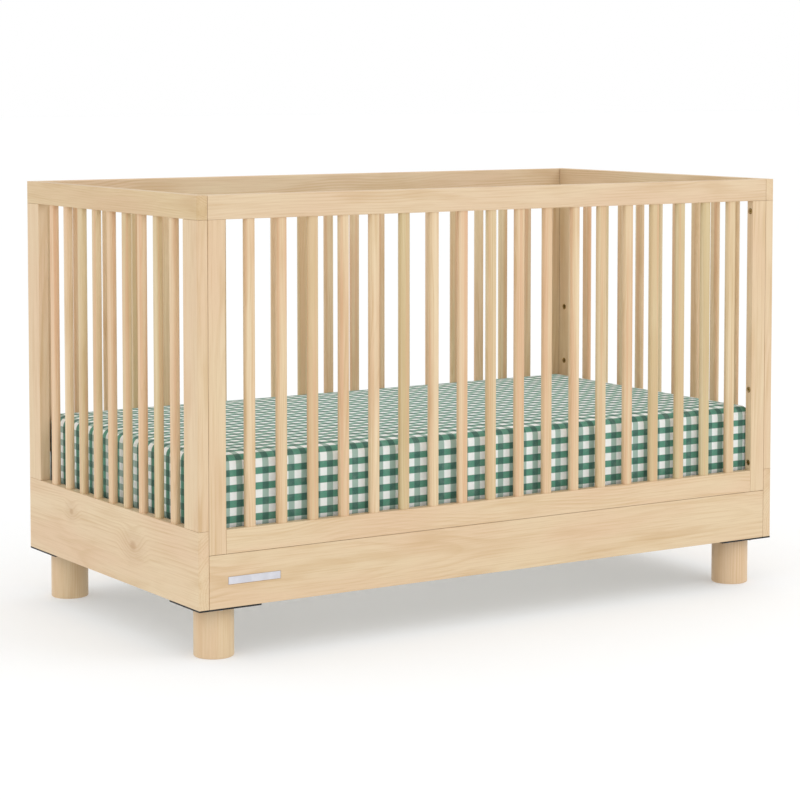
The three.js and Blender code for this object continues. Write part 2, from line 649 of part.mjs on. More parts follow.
const crib = new THREE.Group();
crib.add(
  ...Object.keys(ENDS).map(endPanel),
  ...Object.keys(SIDES).map(longFrame),
  ...Object.keys(ENDS).flatMap((end) => Object.keys(SIDES).map((side) => cornerLeg(end, side))),
  ...supportBolts(),
  support(),
  part("mattress", mattressShape(0), TICKING),
  part("fitted_sheet", fittedSheet(), GINGHAM),
);

export default crib;
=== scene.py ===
"""Looks of a full-size baby crib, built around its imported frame.

Metres. +Z is up, +X runs along the length and -Y is the front. Every piece stands where its
CAD node stands, and each finish is made of nodes that read the piece's own coordinates, its UV
map or its own attributes.
"""

import logging
import math
from dataclasses import dataclass, field
from enum import Enum
from typing import Any, Iterable, Sequence

import bmesh
import bpy
import numpy as np
from mathutils import Matrix, Vector


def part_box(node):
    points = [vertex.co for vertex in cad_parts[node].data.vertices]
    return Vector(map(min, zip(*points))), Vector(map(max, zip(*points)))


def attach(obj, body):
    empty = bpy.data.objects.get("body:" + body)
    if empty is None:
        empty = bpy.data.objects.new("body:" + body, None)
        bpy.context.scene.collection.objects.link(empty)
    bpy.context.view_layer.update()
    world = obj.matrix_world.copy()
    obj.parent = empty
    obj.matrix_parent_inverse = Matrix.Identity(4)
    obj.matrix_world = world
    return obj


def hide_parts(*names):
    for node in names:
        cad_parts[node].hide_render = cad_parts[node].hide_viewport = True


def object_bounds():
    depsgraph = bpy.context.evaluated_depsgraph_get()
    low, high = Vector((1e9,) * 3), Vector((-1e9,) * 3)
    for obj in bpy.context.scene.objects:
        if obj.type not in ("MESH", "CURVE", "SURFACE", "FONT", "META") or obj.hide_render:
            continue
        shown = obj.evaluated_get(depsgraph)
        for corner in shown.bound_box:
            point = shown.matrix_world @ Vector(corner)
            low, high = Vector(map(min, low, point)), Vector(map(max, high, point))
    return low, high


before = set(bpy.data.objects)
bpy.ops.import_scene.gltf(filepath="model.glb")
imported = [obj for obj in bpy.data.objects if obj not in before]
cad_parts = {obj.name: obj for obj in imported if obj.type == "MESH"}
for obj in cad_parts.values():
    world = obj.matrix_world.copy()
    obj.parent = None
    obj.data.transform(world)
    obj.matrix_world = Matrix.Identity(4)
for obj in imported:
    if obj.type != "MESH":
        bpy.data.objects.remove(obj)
CAD_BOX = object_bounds()

LOG = logging.getLogger("crib")
GLUE_LINE = 0.0002
TINY = 1e-6
SPECK = 1e-9
FULL_TURN = 2 * math.pi
MM = 0.001
SHARP = math.radians(42)
SHARP_PART = math.radians(40)
ENDS = {-1: "left", 1: "right"}
SIDES = {-1: "front", 1: "back"}

Colour = tuple[float, float, float, float]


def colour(code: str) -> Colour:
    """Turns a hex code into the linear colour that a shader takes.

    Args:
        code: Six hex digits, in sRGB.

    Returns:
        Red, green, blue and an alpha of 1.
    """
    parts = [int(code[i : i + 2], 16) / 255 for i in (0, 2, 4)]
    linear = [p / 12.92 if p <= 0.04045 else ((p + 0.055) / 1.055) ** 2.4 for p in parts]
    return (linear[0], linear[1], linear[2], 1.0)


# ---- Node graphs ---------------------------------------------------------------------------


class Wire:
    """An output socket. Arithmetic on it adds the Math nodes that work it out."""

    def __init__(self, graph: "Graph", socket: bpy.types.NodeSocket) -> None:
        """Keeps the graph that new nodes go into, and the socket."""
        self.graph, self.socket = graph, socket

    def math(self, operation: str, *values: Any) -> "Wire":
        """Adds a Math node that works on wires or numbers, and gives its result."""
        return self.graph.node("ShaderNodeMath", {"operation": operation}, dict(enumerate(values)))

    def __add__(self, other: Any) -> "Wire":
        """Adds a wire or number."""
        return self.math("ADD", self, other)

    def __radd__(self, other: Any) -> "Wire":
        """Adds a wire to a number."""
        return self.math("ADD", other, self)

    def __sub__(self, other: Any) -> "Wire":
        """Takes a wire or number away."""
        return self.math("SUBTRACT", self, other)

    def __rsub__(self, other: Any) -> "Wire":
        """Takes this wire away from a number."""
        return self.math("SUBTRACT", other, self)

    def __mul__(self, other: Any) -> "Wire":
        """Multiplies by a wire or number."""
        return self.math("MULTIPLY", self, other)

    def __rmul__(self, other: Any) -> "Wire":
        """Multiplies a number by this wire."""
        return self.math("MULTIPLY", other, self)

    def __truediv__(self, other: Any) -> "Wire":
        """Divides by a wire or number."""
        return self.math("DIVIDE", self, other)

    def __pow__(self, other: Any) -> "Wire":
        """Raises to a power."""
        return self.math("POWER", self, other)

    def sine(self) -> "Wire":
        """Sine of an angle in radians."""
        return self.math("SINE", self)

    def fraction(self) -> "Wire":
        """What is left after the whole number below."""
        return self.math("FRACT", self)

    def root(self) -> "Wire":
        """Square root."""
        return self.math("SQRT", self)

    def ramp(self, low: float, high: float, start: float = 0.0, end: float = 1.0) -> "Wire":
        """Eases from start to end as this wire goes from low to high."""
        values = {0: self, 1: low, 2: high, 3: start, 4: end}
        return self.graph.node("ShaderNodeMapRange", {"interpolation_type": "SMOOTHSTEP"}, values)

    def other(self, name: str) -> "Wire":
        """Another output of the same node, by name."""
        return Wire(self.graph, self.socket.node.outputs[name])


class Graph:
    """A shader or geometry tree, and the one method that adds a node to it."""

    def __init__(self, tree: bpy.types.NodeTree) -> None:
        """Keeps the tree that the nodes go into."""
        self.tree = tree

    def node(
        self,
        kind: str,
        settings: dict[str, Any] | None = None,
        values: dict[int | str, Any] | None = None,
        output: int = 0,
    ) -> Wire:
        """Adds a node, sets its settings, and then fills or links its sockets.

        Args:
            kind: The node's type.
            settings: Its own settings, set first.
            values: Numbers, colours, wires or lists of wires, by socket.
            output: Which output to give back.

        Returns:
            The wanted output, or the node's first one.
        """
        made = self.tree.nodes.new(kind)
        for key, value in (settings or {}).items():
            setattr(made, key, value)
        for key, value in (values or {}).items():
            for one in value if isinstance(value, list) else [value]:
                if isinstance(one, Wire):
                    self.tree.links.new(one.socket, made.inputs[key])
                else:
                    made.inputs[key].default_value = one
        return Wire(self, made.outputs[output]) if len(made.outputs) else Wire(self, None)

    def mix(self, factor: Wire | float, first: Any, second: Any) -> Wire:
        """Mixes two colours or wires: 0 gives the first and 1 the second."""
        settings = {"data_type": "RGBA", "clamp_factor": True}
        return self.node("ShaderNodeMix", settings, {0: factor, 6: first, 7: second}, 2)

    def vector(self, operation: str, first: Any, second: Any) -> Wire:
        """Works on two vectors or wires with a Vector Math node."""
        return self.node("ShaderNodeVectorMath", {"operation": operation}, {0: first, 1: second})

    def join(self, x: Any, y: Any, z: Any) -> Wire:
        """Makes a vector of three wires or numbers."""
        return self.node("ShaderNodeCombineXYZ", None, {0: x, 1: y, 2: z})

    def split(self, vector: Wire) -> list[Wire]:
        """Gives a vector's three parts."""
        first = self.node("ShaderNodeSeparateXYZ", None, {0: vector})
        return [first, first.other("Y"), first.other("Z")]

    def noise(self, vector: Wire, scale: float = 1.0, detail: float = 2.0) -> Wire:
        """Smooth noise from about 0 to 1, with so many lumps to a unit and octaves on top."""
        values = {"Vector": vector, "Scale": scale, "Detail": detail}
        return self.node("ShaderNodeTexNoise", None, values)

    def here(self) -> Wire:
        """The place on the piece, in the crib's frame."""
        return self.node("ShaderNodeTexCoord").other("Object")

    def bump(self, height: Wire, distance: float, strength: float = 1.0) -> Wire:
        """Turns a height from 0 to 1, where 1 stands so many metres high, into a normal."""
        values = {"Strength": strength, "Distance": distance, "Height": height}
        return self.node("ShaderNodeBump", None, values)


@dataclass(frozen=True)
class Finish:
    """A material. Each kind of finish paints its own colour, roughness and bump."""

    name: str

    def paint(self, graph: Graph) -> dict[str, Any]:
        """Adds the finish's nodes, and gives values and wires for the main shader's sockets."""
        raise NotImplementedError

    def material(self) -> bpy.types.Material:
        """Makes the material.

        Returns:
            The material, ready for a mesh.
        """
        made = bpy.data.materials.new(self.name)
        made.use_nodes = True
        made.node_tree.nodes.clear()
        graph = Graph(made.node_tree)
        shader = graph.node("ShaderNodeBsdfPrincipled", None, self.paint(graph))
        graph.node("ShaderNodeOutputMaterial", None, {"Surface": shader})
        return made


# ---- Wood ----------------------------------------------------------------------------------


class Grain(Enum):
    """The axis that the fibres run along, and the order that puts it first."""

    X = (0, 1, 2)
    Y = (1, 0, 2)
    Z = (2, 0, 1)


class Tone(Enum):
    """Early wood, late wood and warm patches of a board, in sRGB."""

    BOARD = ("dfc8a4", "c8a678", "dcbb99")
    TOP = ("dec7a5", "c7a57a", "dabb9b")
    END_RAIL = ("d6bd93", "bd9a6a", "d1b08a")
    SLAT = ("e0c8a2", "c6a374", "dbb691")
    LEG = ("e0c8a2", "cfab7f", "dfbf9c")


@dataclass(frozen=True)
class Knot:
    """A small knot: its place along the grain and up from the board's middle, and its radius."""

    along: float
    up: float
    radius: float


@dataclass(frozen=True)
class Wood(Finish):
    """Pale lacquered wood, with rings, fibres, warm patches and knots."""

    grain: Grain = Grain.X
    tone: Tone = Tone.BOARD
    middle: tuple[float, float, float] = (0.0, 0.0, 0.0)
    offset: tuple[float, float, float] = (0.0, 0.0, 0.0)
    heart: tuple[float, float] = (0.03, 0.07)
    ring: float = 0.0042
    taper: float = 0.018
    knots: tuple[Knot, ...] = ()
    per_slat: bool = False

    def paint(self, graph: Graph) -> dict[str, Any]:
        """Builds the wood. See Finish.paint."""
        place = graph.here()
        shade: Wire | float = 0.5
        if self.per_slat:
            shift = graph.node("ShaderNodeAttribute", {"attribute_name": "shift"}, None, 1)
            place = graph.vector("ADD", place, shift)
            shade = graph.node("ShaderNodeAttribute", {"attribute_name": "shade"}, None, 2)
        local = graph.split(graph.vector("SUBTRACT", place, self.middle))
        near, over, up = (local[i] for i in self.grain.value)
        parts = graph.split(graph.vector("ADD", place, self.offset))
        along, across, deep = (parts[i] for i in self.grain.value)
        wander = graph.noise(graph.join(along * 1.9, across * 6, deep * 6), 1, 2) - 0.5
        sway = graph.noise(graph.join(along * 3.1, across * 2, deep * 2), 1, 1) - 0.5
        side = over - self.heart[0] + sway * 0.03
        rise = up - self.heart[1] + wander * 0.03
        radius = (side * side + rise * rise).root() + near * self.taper + wander * 0.012
        dark_knot: Wire | float = 0.0
        for knot in self.knots:
            u, v = near - knot.along, up - knot.up + sway * 0.01
            away = (u * u * 0.5 + v * v).root()
            radius = radius + away.ramp(0, knot.radius * 4, knot.radius * 1.5, 0)
            dark_knot = dark_knot + away.ramp(knot.radius * 0.2, knot.radius, 0.7, 0)
            dark_knot = dark_knot + away.ramp(knot.radius, knot.radius * 3.4, 0.3, 0)
        turns = radius / self.ring
        wave = turns.fraction()
        late = wave.ramp(0.25, 0.8) * wave.ramp(0.82, 1, 1, 0)
        fade = graph.noise(graph.join(along * 3.5, radius * 60, 0.0), 1, 2).ramp(0.36, 0.66)
        late = late * fade
        streak = graph.noise(graph.join(along * 7, across * 420, deep * 420), 1, 3)
        fibre = graph.noise(graph.join(along * 26, across * 1500, deep * 1500), 1, 2)
        patch = graph.noise(graph.join(along * 2.2, across * 9, deep * 9), 1.3, 2)
        early, dark, warm = (colour(code) for code in self.tone.value)
        base = graph.mix(patch.ramp(0.35, 0.72) * 0.7, early, warm)
        base = graph.mix(late * (0.22 + patch * 0.5), base, dark)
        base = graph.mix(streak.ramp(0.42, 0.78) * 0.4, base, dark)
        cloud = graph.noise(graph.join(along * 5, across * 32, deep * 32), 1, 2)
        base = graph.mix(cloud.ramp(0.5, 0.74) * 0.42, base, dark)
        pores = fibre.ramp(0.56, 0.72)
        base = graph.mix(pores * 0.15, base, colour("a98252"))
        if self.per_slat:
            pink = graph.mix(shade.ramp(0.62, 0.95) * 0.38, base, colour("dba67e"))
            olive = graph.mix(shade.ramp(0.04, 0.36, 0.55, 0), pink, colour("bfae7c"))
            band = graph.noise(graph.join(along * 1.3, across * 110, deep * 110), 1, 1)
            base = graph.mix(band.ramp(0.5, 0.68) * 0.44, olive, colour("d3a07a"))
            base = graph.mix(band.ramp(0.3, 0.46, 0.3, 0), base, colour("efdfbf"))
        if self.knots:
            base = graph.mix(dark_knot * 0.55, base, colour("a97d50"))
        height = late * 0.35 + streak * 0.5 + fibre * 0.35
        return {
            "Base Color": base,
            "Roughness": 0.44 + streak * 0.12 + pores * 0.08,
            "Normal": graph.bump(height, 0.00012, 0.5),
            "Coat Weight": 0.12,
            "Coat Roughness": 0.3,
            "Specular IOR Level": 0.4,
        }


# ---- Metal ---------------------------------------------------------------------------------


@dataclass(frozen=True)
class Metal(Finish):
    """Plated, brushed or painted metal, with fine brushing and faint smudges."""

    base: str = "b9bcc0"
    rubbed: str = "d2d4d6"
    metallic: float = 0.9
    roughness: float = 0.34
    brushed_along_x: bool = False
    grit: float = 900.0

    def paint(self, graph: Graph) -> dict[str, Any]:
        """Builds the metal. See Finish.paint."""
        place = graph.here()
        x, y, z = graph.split(place)
        stretch = 0.03 if self.brushed_along_x else 1.0
        fine = graph.noise(graph.join(x * stretch, y, z), self.grit, 2)
        smudge = graph.noise(place, 35, 3)
        return {
            "Base Color": graph.mix(smudge.ramp(0.35, 0.75), colour(self.base), colour(self.rubbed)),
            "Roughness": self.roughness + smudge * 0.12 + fine * 0.08 - 0.08,
            "Metallic": self.metallic,
            "Normal": graph.bump(fine, 0.00004, 0.6),
        }


# ---- Cloth ---------------------------------------------------------------------------------


@dataclass(frozen=True)
class Gingham(Finish):
    """Woven checks on a UV map in metres: bands of dyed threads cross on a white ground."""

    repeat: tuple[float, float] = (0.0281, 0.0302)
    phase: tuple[float, float] = (-0.004, 0.0133)
    dyed: float = 0.47
    thread: float = 0.0011

    def band(self, place: Wire, axis: int) -> Wire:
        """Where the dyed threads lie, along one direction of the cloth.

        Args:
            place: Position across the bands, in metres.
            axis: 0 across the cloth and 1 along it.

        Returns:
            1 in a band and 0 between bands, with a thread's width between.
        """
        cycle = ((place - self.phase[axis]) / self.repeat[axis]).fraction()
        edge = self.thread / self.repeat[axis]
        return cycle.ramp(0, edge) * cycle.ramp(self.dyed, self.dyed + edge, 1, 0)

    def paint(self, graph: Graph) -> dict[str, Any]:
        """Builds the weave. See Finish.paint."""
        u, v, _ = graph.split(graph.node("ShaderNodeUVMap", {"uv_map": "cloth"}))
        rows, columns = self.band(v, 1), self.band(u, 0)
        place = graph.here()
        worn = graph.noise(place, 55, 3)
        light = graph.mix(columns, colour("f7faf9"), colour("a0bbb0"))
        dark = graph.mix(columns, colour("4f917a"), colour("2d6456"))
        base = graph.mix(rows, light, dark)
        base = graph.mix(worn.ramp(0.45, 0.8) * 0.12, base, colour("cfe0d8"))
        weave = (u * (FULL_TURN / self.thread)).sine() * (v * (FULL_TURN / self.thread)).sine()
        slub = graph.noise(graph.join(u * 40, v * 900, 0), 1, 2)
        base = graph.mix((weave * 0.5 + 0.5) * 0.1, base, colour("dfe9e4"))
        return {
            "Base Color": base,
            "Roughness": 0.86 + slub * 0.1,
            "Normal": graph.bump(weave * 0.5 + slub * 0.8, 0.0002, 0.5),
            "Sheen Weight": 0.12,
            "Sheen Roughness": 0.5,
            "Specular IOR Level": 0.2,
        }


@dataclass(frozen=True)
class Ticking(Finish):
    """Tight white cover cloth, with a small woven diamond."""

    base: str = "f1f0ea"
    shade: str = "dddcd3"

    def paint(self, graph: Graph) -> dict[str, Any]:
        """Builds the cover cloth. See Finish.paint."""
        place = graph.here()
        x, y, z = graph.split(place)
        first = ((x + y + z) * (FULL_TURN / 0.012)).sine()
        second = ((x - y + z) * (FULL_TURN / 0.012)).sine()
        diamond = (first * second).ramp(0.5, 0.9)
        fuzz = graph.noise(place, 1400, 2)
        return {
            "Base Color": graph.mix(diamond * 0.6, colour(self.base), colour(self.shade)),
            "Roughness": 0.85 + fuzz * 0.1,
            "Normal": graph.bump(fuzz * 0.6 + diamond * 0.4, 0.0003, 0.5),
            "Sheen Weight": 0.1,
        }


@dataclass(frozen=True)
class Thread(Finish):
    """Twisted sewing thread."""

    base: str = "e8efe9"

    def paint(self, graph: Graph) -> dict[str, Any]:
        """Builds the thread. See Finish.paint."""
        place = graph.here()
        twist = graph.noise(place, 2500, 2)
        return {
            "Base Color": graph.mix(twist, colour(self.base), colour("b9cdc2")),
            "Roughness": 0.7 + twist * 0.15,
            "Normal": graph.bump(twist, 0.0002, 0.5),
        }


@dataclass(frozen=True)
class Studio(Finish):
    """Pale matt floor, lit a little from below like a light table."""

    glow: float = 0.27

    def paint(self, graph: Graph) -> dict[str, Any]:
        """Builds the floor's paint. See Finish.paint."""
        place = graph.here()
        cloud = graph.noise(place, 0.4, 2)
        return {
            "Base Color": graph.mix(cloud, colour("dcdddd"), colour("dedfdf")),
            "Roughness": 0.9,
            "Specular IOR Level": 0.1,
            "Emission Color": colour("ffffff"),
            "Emission Strength": self.glow,
        }


# ---- Meshes --------------------------------------------------------------------------------


def flatten(piece: bpy.types.Object) -> bpy.types.Mesh:
    """Applies a piece's modifiers and removes the piece.

    Args:
        piece: An object at the origin, with its modifiers.

    Returns:
        The finished mesh.
    """
    bpy.context.view_layer.update()
    depsgraph = bpy.context.evaluated_depsgraph_get()
    mesh = bpy.data.meshes.new_from_object(piece.evaluated_get(depsgraph))
    bpy.data.objects.remove(piece)
    return mesh


def baked(name: str, shape: bmesh.types.BMesh) -> bpy.types.Mesh:
    """Turns a mesh under construction into a finished one.

    Args:
        name: The mesh's name.
        shape: The mesh under construction, which is freed.

    Returns:
        The finished mesh.
    """
    data = bpy.data.meshes.new(name)
    shape.to_mesh(data)
    shape.free()
    return data


def plain_mesh(
    name: str, points: Iterable[Sequence[float]], faces: Sequence[Any] = (), edges: Sequence[Any] = ()
) -> bpy.types.Mesh:
    """Makes a mesh from lists.

    Args:
        name: The mesh's name.
        points: Its points.
        faces: Its faces, each as the numbers of its points.
        edges: Its loose edges.

    Returns:
        The mesh.
    """
    data = bpy.data.meshes.new(name)
    data.from_pydata([tuple(p) for p in points], edges, faces)
    return data


def inward(box: Sequence[Vector], end: int) -> float:
    """The X of a box's face that looks towards the middle of the crib."""
    return box[1].x if end < 0 else box[0].x


def place(name: str, mesh: bpy.types.Mesh) -> bpy.types.Object:
    """Puts a mesh into the scene, at the origin.

    Args:
        name: The piece's name.
        mesh: Its mesh, in the crib's own frame.

    Returns:
        The new object.
    """
    mesh.name = name
    piece = bpy.data.objects.new(name, mesh)
    bpy.context.scene.collection.objects.link(piece)
    return piece


def finished(
    piece: bpy.types.Object,
    material: bpy.types.Material | None,
    body: str,
    replaced: Iterable[str] = (),
) -> bpy.types.Object:
    """Gives a piece its material and its place in the frame.

    Args:
        piece: The finished object.
        material: Its finish, or None if the mesh has it already.
        body: The CAD body that carries it.
        replaced: CAD nodes that it stands for.

    Returns:
        The same piece.
    """
    if material is not None:
        piece.data.materials.clear()
        piece.data.materials.append(material)
    if replaced:
        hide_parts(*replaced)
    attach(piece, body)
    LOG.info("%s: %d faces on %s", piece.name, len(piece.data.polygons), body)
    return piece


@dataclass(frozen=True)
class Bore:
    """A round hole along X, Y or Z: where it starts, where it ends, and its radius."""

    start: tuple[float, float, float]
    end: tuple[float, float, float]
    radius: float

    def add_to(self, mesh: bmesh.types.BMesh, sides: int = 32) -> None:
        """Adds the hole's cutter to a mesh.

        Args:
            mesh: The mesh of all cutters.
            sides: Flats round the hole.
        """
        axis = Vector(self.end) - Vector(self.start)
        turn = axis.to_track_quat("Z", "Y").to_matrix().to_4x4()
        middle = Matrix.Translation((Vector(self.start) + Vector(self.end)) / 2)
        bmesh.ops.create_cone(
            mesh,
            cap_ends=True,
            segments=sides,
            radius1=self.radius,
            radius2=self.radius,
            depth=axis.length,
            matrix=middle @ turn,
        )


@dataclass
class EasedBlock:
    """A planed board with eased edges, and the holes or pockets cut into it."""

    low: Vector
    high: Vector
    ease: float = 0.0009
    upright: dict[tuple[int, int], float] = field(default_factory=dict)
    top_edges: float = 0.0
    bores: Sequence[Bore] = ()
    pocket: tuple[Vector, Vector] | None = None
    segments: int = 3

    def edge_radius(self, ends: tuple[Vector, Vector]) -> float:
        """How far an edge is rounded.

        Args:
            ends: The edge's two points, each -1 or 1 on every axis.

        Returns:
            The radius in metres.
        """
        first, second = ends
        if first.z != second.z:
            return self.upright.get((round(first.x), round(first.y)), self.ease)
        if self.top_edges and first.z > 0:
            return self.top_edges
        return self.ease

    def cutters(self) -> bpy.types.Object | None:
        """Makes the object that the holes and the pocket are cut with.

        Returns:
            The cutter, or None if nothing is cut.
        """
        if not self.bores and self.pocket is None:
            return None
        mesh = bmesh.new()
        for bore in self.bores:
            bore.add_to(mesh)
        if self.pocket is not None:
            low, high = self.pocket
            size = Matrix.Diagonal((*(high - low), 1))
            bmesh.ops.create_cube(mesh, size=1, matrix=Matrix.Translation((low + high) / 2) @ size)
        return place("cutter", baked("cutter", mesh))

    def build(self, name: str) -> bpy.types.Object:
        """Makes the board.

        Args:
            name: The piece's name.

        Returns:
            The board, smooth where it is eased and flat elsewhere.
        """
        mesh = bmesh.new()
        bmesh.ops.create_cube(mesh, size=2)
        weights = mesh.edges.layers.float.new("bevel_weight_edge")
        widest = max([self.ease, self.top_edges, *self.upright.values()])
        for edge in mesh.edges:
            edge[weights] = self.edge_radius((edge.verts[0].co, edge.verts[1].co)) / widest
        half, middle = (self.high - self.low) / 2, (self.high + self.low) / 2
        for vert in mesh.verts:
            vert.co = Vector(c * h + m for c, h, m in zip(vert.co, half, middle))
        piece = place(name, baked(name, mesh))
        bevel = piece.modifiers.new("ease", "BEVEL")
        bevel.limit_method = "WEIGHT"
        bevel.width = widest
        bevel.segments = self.segments
        cutter = self.cutters()
        if cutter is not None:
            cut = piece.modifiers.new("cut", "BOOLEAN")
            cut.solver = "EXACT"
            cut.object = cutter
        cleaned = flatten(piece)
        if cutter is not None:
            bpy.data.objects.remove(cutter)
        cleaned.shade_smooth()
        cleaned.set_sharp_from_angle(angle=SHARP)
        piece = place(name, cleaned)
        even = piece.modifiers.new("even", "WEIGHTED_NORMAL")
        even.keep_sharp, even.weight = True, 100
        return place(name, flatten(piece))


def lathe(
    name: str, profile: Sequence[tuple[float, float]], centre: Vector, sides: int = 72
) -> bpy.types.Mesh:
    """Turns a profile about an upright axis.

    Args:
        name: The mesh's name.
        profile: Radius and height from the foot up; it starts and ends on the axis.
        centre: The axis, at the floor.
        sides: Steps round.

    Returns:
        The closed mesh, smooth except at sharp turns.
    """
    mesh = bmesh.new()
    rings = []
    for radius, height in profile:
        if radius == 0:
            rings.append([mesh.verts.new(centre + Vector((0, 0, height)))])
            continue
        angles = [FULL_TURN * i / sides for i in range(sides)]
        ring = [Vector((radius * math.cos(a), radius * math.sin(a), height)) for a in angles]
        rings.append([mesh.verts.new(centre + point) for point in ring])
    for below, above in zip(rings, rings[1:]):
        for i in range(sides):
            j = (i + 1) % sides
            if len(below) == 1:
                mesh.faces.new((below[0], above[j], above[i]))
            elif len(above) == 1:
                mesh.faces.new((below[i], below[j], above[0]))
            else:
                mesh.faces.new((below[i], below[j], above[j], above[i]))
    bmesh.ops.recalc_face_normals(mesh, faces=mesh.faces)
    data = baked(name, mesh)
    data.shade_smooth()
    data.set_sharp_from_angle(angle=SHARP)
    return data


# ---- Geometry Nodes recipes ----------------------------------------------------------------


class Recipe:
    """A Geometry Nodes tree with named inputs, which each kind of recipe names and draws."""

    KINDS = {int: "NodeSocketInt", float: "NodeSocketFloat", Vector: "NodeSocketVector"}
    INPUTS: dict[str, Any] = {}

    def __init__(self, material: bpy.types.Material) -> None:
        """Makes the tree, its inputs and its nodes, which end in plain geometry with a material.

        Args:
            material: What the mesh is made of.
        """
        self.tree = bpy.data.node_groups.new(type(self).__name__, "GeometryNodeTree")
        self.graph = Graph(self.tree)
        interface = self.tree.interface
        interface.new_socket("Points", in_out="INPUT", socket_type="NodeSocketGeometry")
        interface.new_socket("Geometry", in_out="OUTPUT", socket_type="NodeSocketGeometry")
        self.sockets: dict[str, str] = {}
        for title, value in self.INPUTS.items():
            kind = self.KINDS[type(value)]
            socket = interface.new_socket(title, in_out="INPUT", socket_type=kind)
            socket.default_value = value
            self.sockets[title] = socket.identifier
        self.group = self.graph.node("NodeGroupInput")
        plain = self.graph.node("GeometryNodeRealizeInstances", None, {0: self.draw()})
        painted = self.graph.node("GeometryNodeSetMaterial", None, {0: plain, 2: material})
        self.graph.node("NodeGroupOutput", None, {0: painted})

    def draw(self) -> Wire:
        """Adds the recipe's own nodes, and gives its instances."""
        raise NotImplementedError

    def input(self, name: str) -> Wire:
        """The wire of a named input."""
        return self.group.other(name)

    def circle(self, sides: int, radius: Any) -> Wire:
        """A round outline of so many sides."""
        values = {"Resolution": sides, "Radius": radius}
        return self.graph.node("GeometryNodeCurvePrimitiveCircle", None, values)

    def straight(self, **ends: Wire) -> Wire:
        """A straight path, from the origin if only its End is given."""
        return self.graph.node("GeometryNodeCurvePrimitiveLine", None, ends)

    def spiral(self, steps: int, radius: Wire, turns: Wire, height: Wire) -> Wire:
        """An upright helix from the origin, with so many steps to a turn.

        Args:
            steps: Steps to a turn.
            radius: Its radius.
            turns: How many turns it makes.
            height: How high it rises.

        Returns:
            The path.
        """
        values = {"Resolution": steps, "Rotations": turns, "Height": height}
        values.update({"Start Radius": radius, "End Radius": radius})
        return self.graph.node("GeometryNodeCurveSpiral", None, values)

    def swept(self, path: Wire, profile: Wire) -> Wire:
        """A closed bar with one profile all along a path."""
        values = {"Curve": path, "Profile Curve": profile, "Fill Caps": True}
        return self.graph.node("GeometryNodeCurveToMesh", None, values)

    def raised(self, part: Wire, height: Any) -> Wire:
        """A part moved up."""
        values = {0: part, "Translation": self.graph.join(0.0, 0.0, height)}
        return self.graph.node("GeometryNodeTransform", None, values)

    def towards(self, direction: Wire) -> Wire:
        """The turn that points a part's Z along a direction."""
        values = {"Vector": direction}
        return self.graph.node("FunctionNodeAlignRotationToVector", {"axis": "Z"}, values)

    def line(self) -> Wire:
        """A row of points, from the inputs Count, First and Step."""
        places = {"Start Location": self.input("First"), "Offset": self.input("Step")}
        return self.graph.node("GeometryNodeMeshLine", None, {"Count": self.input("Count"), **places})

    def repeated(self, points: Wire, part: Wire, **turn: Wire) -> Wire:
        """A part on each point, turned by its Rotation if one is given."""
        values = {"Points": points, "Instance": part, **turn}
        return self.graph.node("GeometryNodeInstanceOnPoints", None, values)

    def run(self, points: bpy.types.Mesh | None = None, **values: Any) -> bpy.types.Mesh:
        """Runs the tree.

        Args:
            points: The mesh that it starts from, if it needs one.
            values: Inputs that differ from the first ones; an underscore stands for a space.

        Returns:
            The mesh, smooth where it turns gently.
        """
        piece = place("recipe", points or bpy.data.meshes.new("start"))
        modifier = piece.modifiers.new("recipe", "NODES")
        modifier.node_group = self.tree
        named = {key.replace("_", " "): value for key, value in values.items()}
        for title, value in {**self.INPUTS, **named}.items():
            modifier[self.sockets[title]] = value
        mesh = flatten(piece)
        mesh.shade_smooth()
        mesh.set_sharp_from_angle(angle=SHARP_PART)
        return mesh


def point_mesh(points: Sequence[Vector], facing: Sequence[Vector]) -> bpy.types.Mesh:
    """Makes loose points that each know which way they face.

    Args:
        points: Where they are.
        facing: Which way each one faces.

    Returns:
        The mesh, with the attribute "facing".
    """
    mesh = plain_mesh("points", points)
    layer = mesh.attributes.new("facing", "FLOAT_VECTOR", "POINT")
    layer.data.foreach_set("vector", [c for f in facing for c in f])
    return mesh


class SlatRow(Recipe):
    """A row of rounded slats, each with its own shade and its own stretch of grain."""

    INPUTS = {
        "Count": 9,
        "First": Vector((0, 0, 0)),
        "Step": Vector((0, 0.0656, 0)),
        "Size X": 0.014,
        "Size Y": 0.022,
        "Radius": 0.006,
        "Height": 0.57,
        "Seed": 3,
    }
    CORNER_POINTS = 6
    SHIFT = 3.0
    NEXT_SEED = 11

    def draw(self) -> Wire:
        """Adds the recipe's own nodes.

        Returns:
            The slats.
        """
        graph, seed = self.graph, self.input("Seed")
        size = {"Width": self.input("Size X"), "Height": self.input("Size Y")}
        outline = graph.node("GeometryNodeCurvePrimitiveQuadrilateral", None, size)
        corner = {"Curve": outline, "Count": self.CORNER_POINTS, "Radius": self.input("Radius")}
        outline = graph.node("GeometryNodeFilletCurve", {"mode": "POLY"}, corner)
        axis = self.straight(End=graph.join(0.0, 0.0, self.input("Height")))
        row = self.repeated(self.line(), self.swept(axis, outline))
        far = {0: (-self.SHIFT,) * 3, 1: (self.SHIFT,) * 3, "Seed": seed + self.NEXT_SEED}
        draws = (("shade", "FLOAT", {"Seed": seed}, 1), ("shift", "FLOAT_VECTOR", far, 0))
        for name, kind, limits, output in draws:
            drawn = graph.node("FunctionNodeRandomValue", {"data_type": kind}, limits, output)
            store = {"data_type": kind, "domain": "INSTANCE"}
            values = {0: row, "Name": name, "Value": drawn}
            row = graph.node("GeometryNodeStoreNamedAttribute", store, values)
        return row


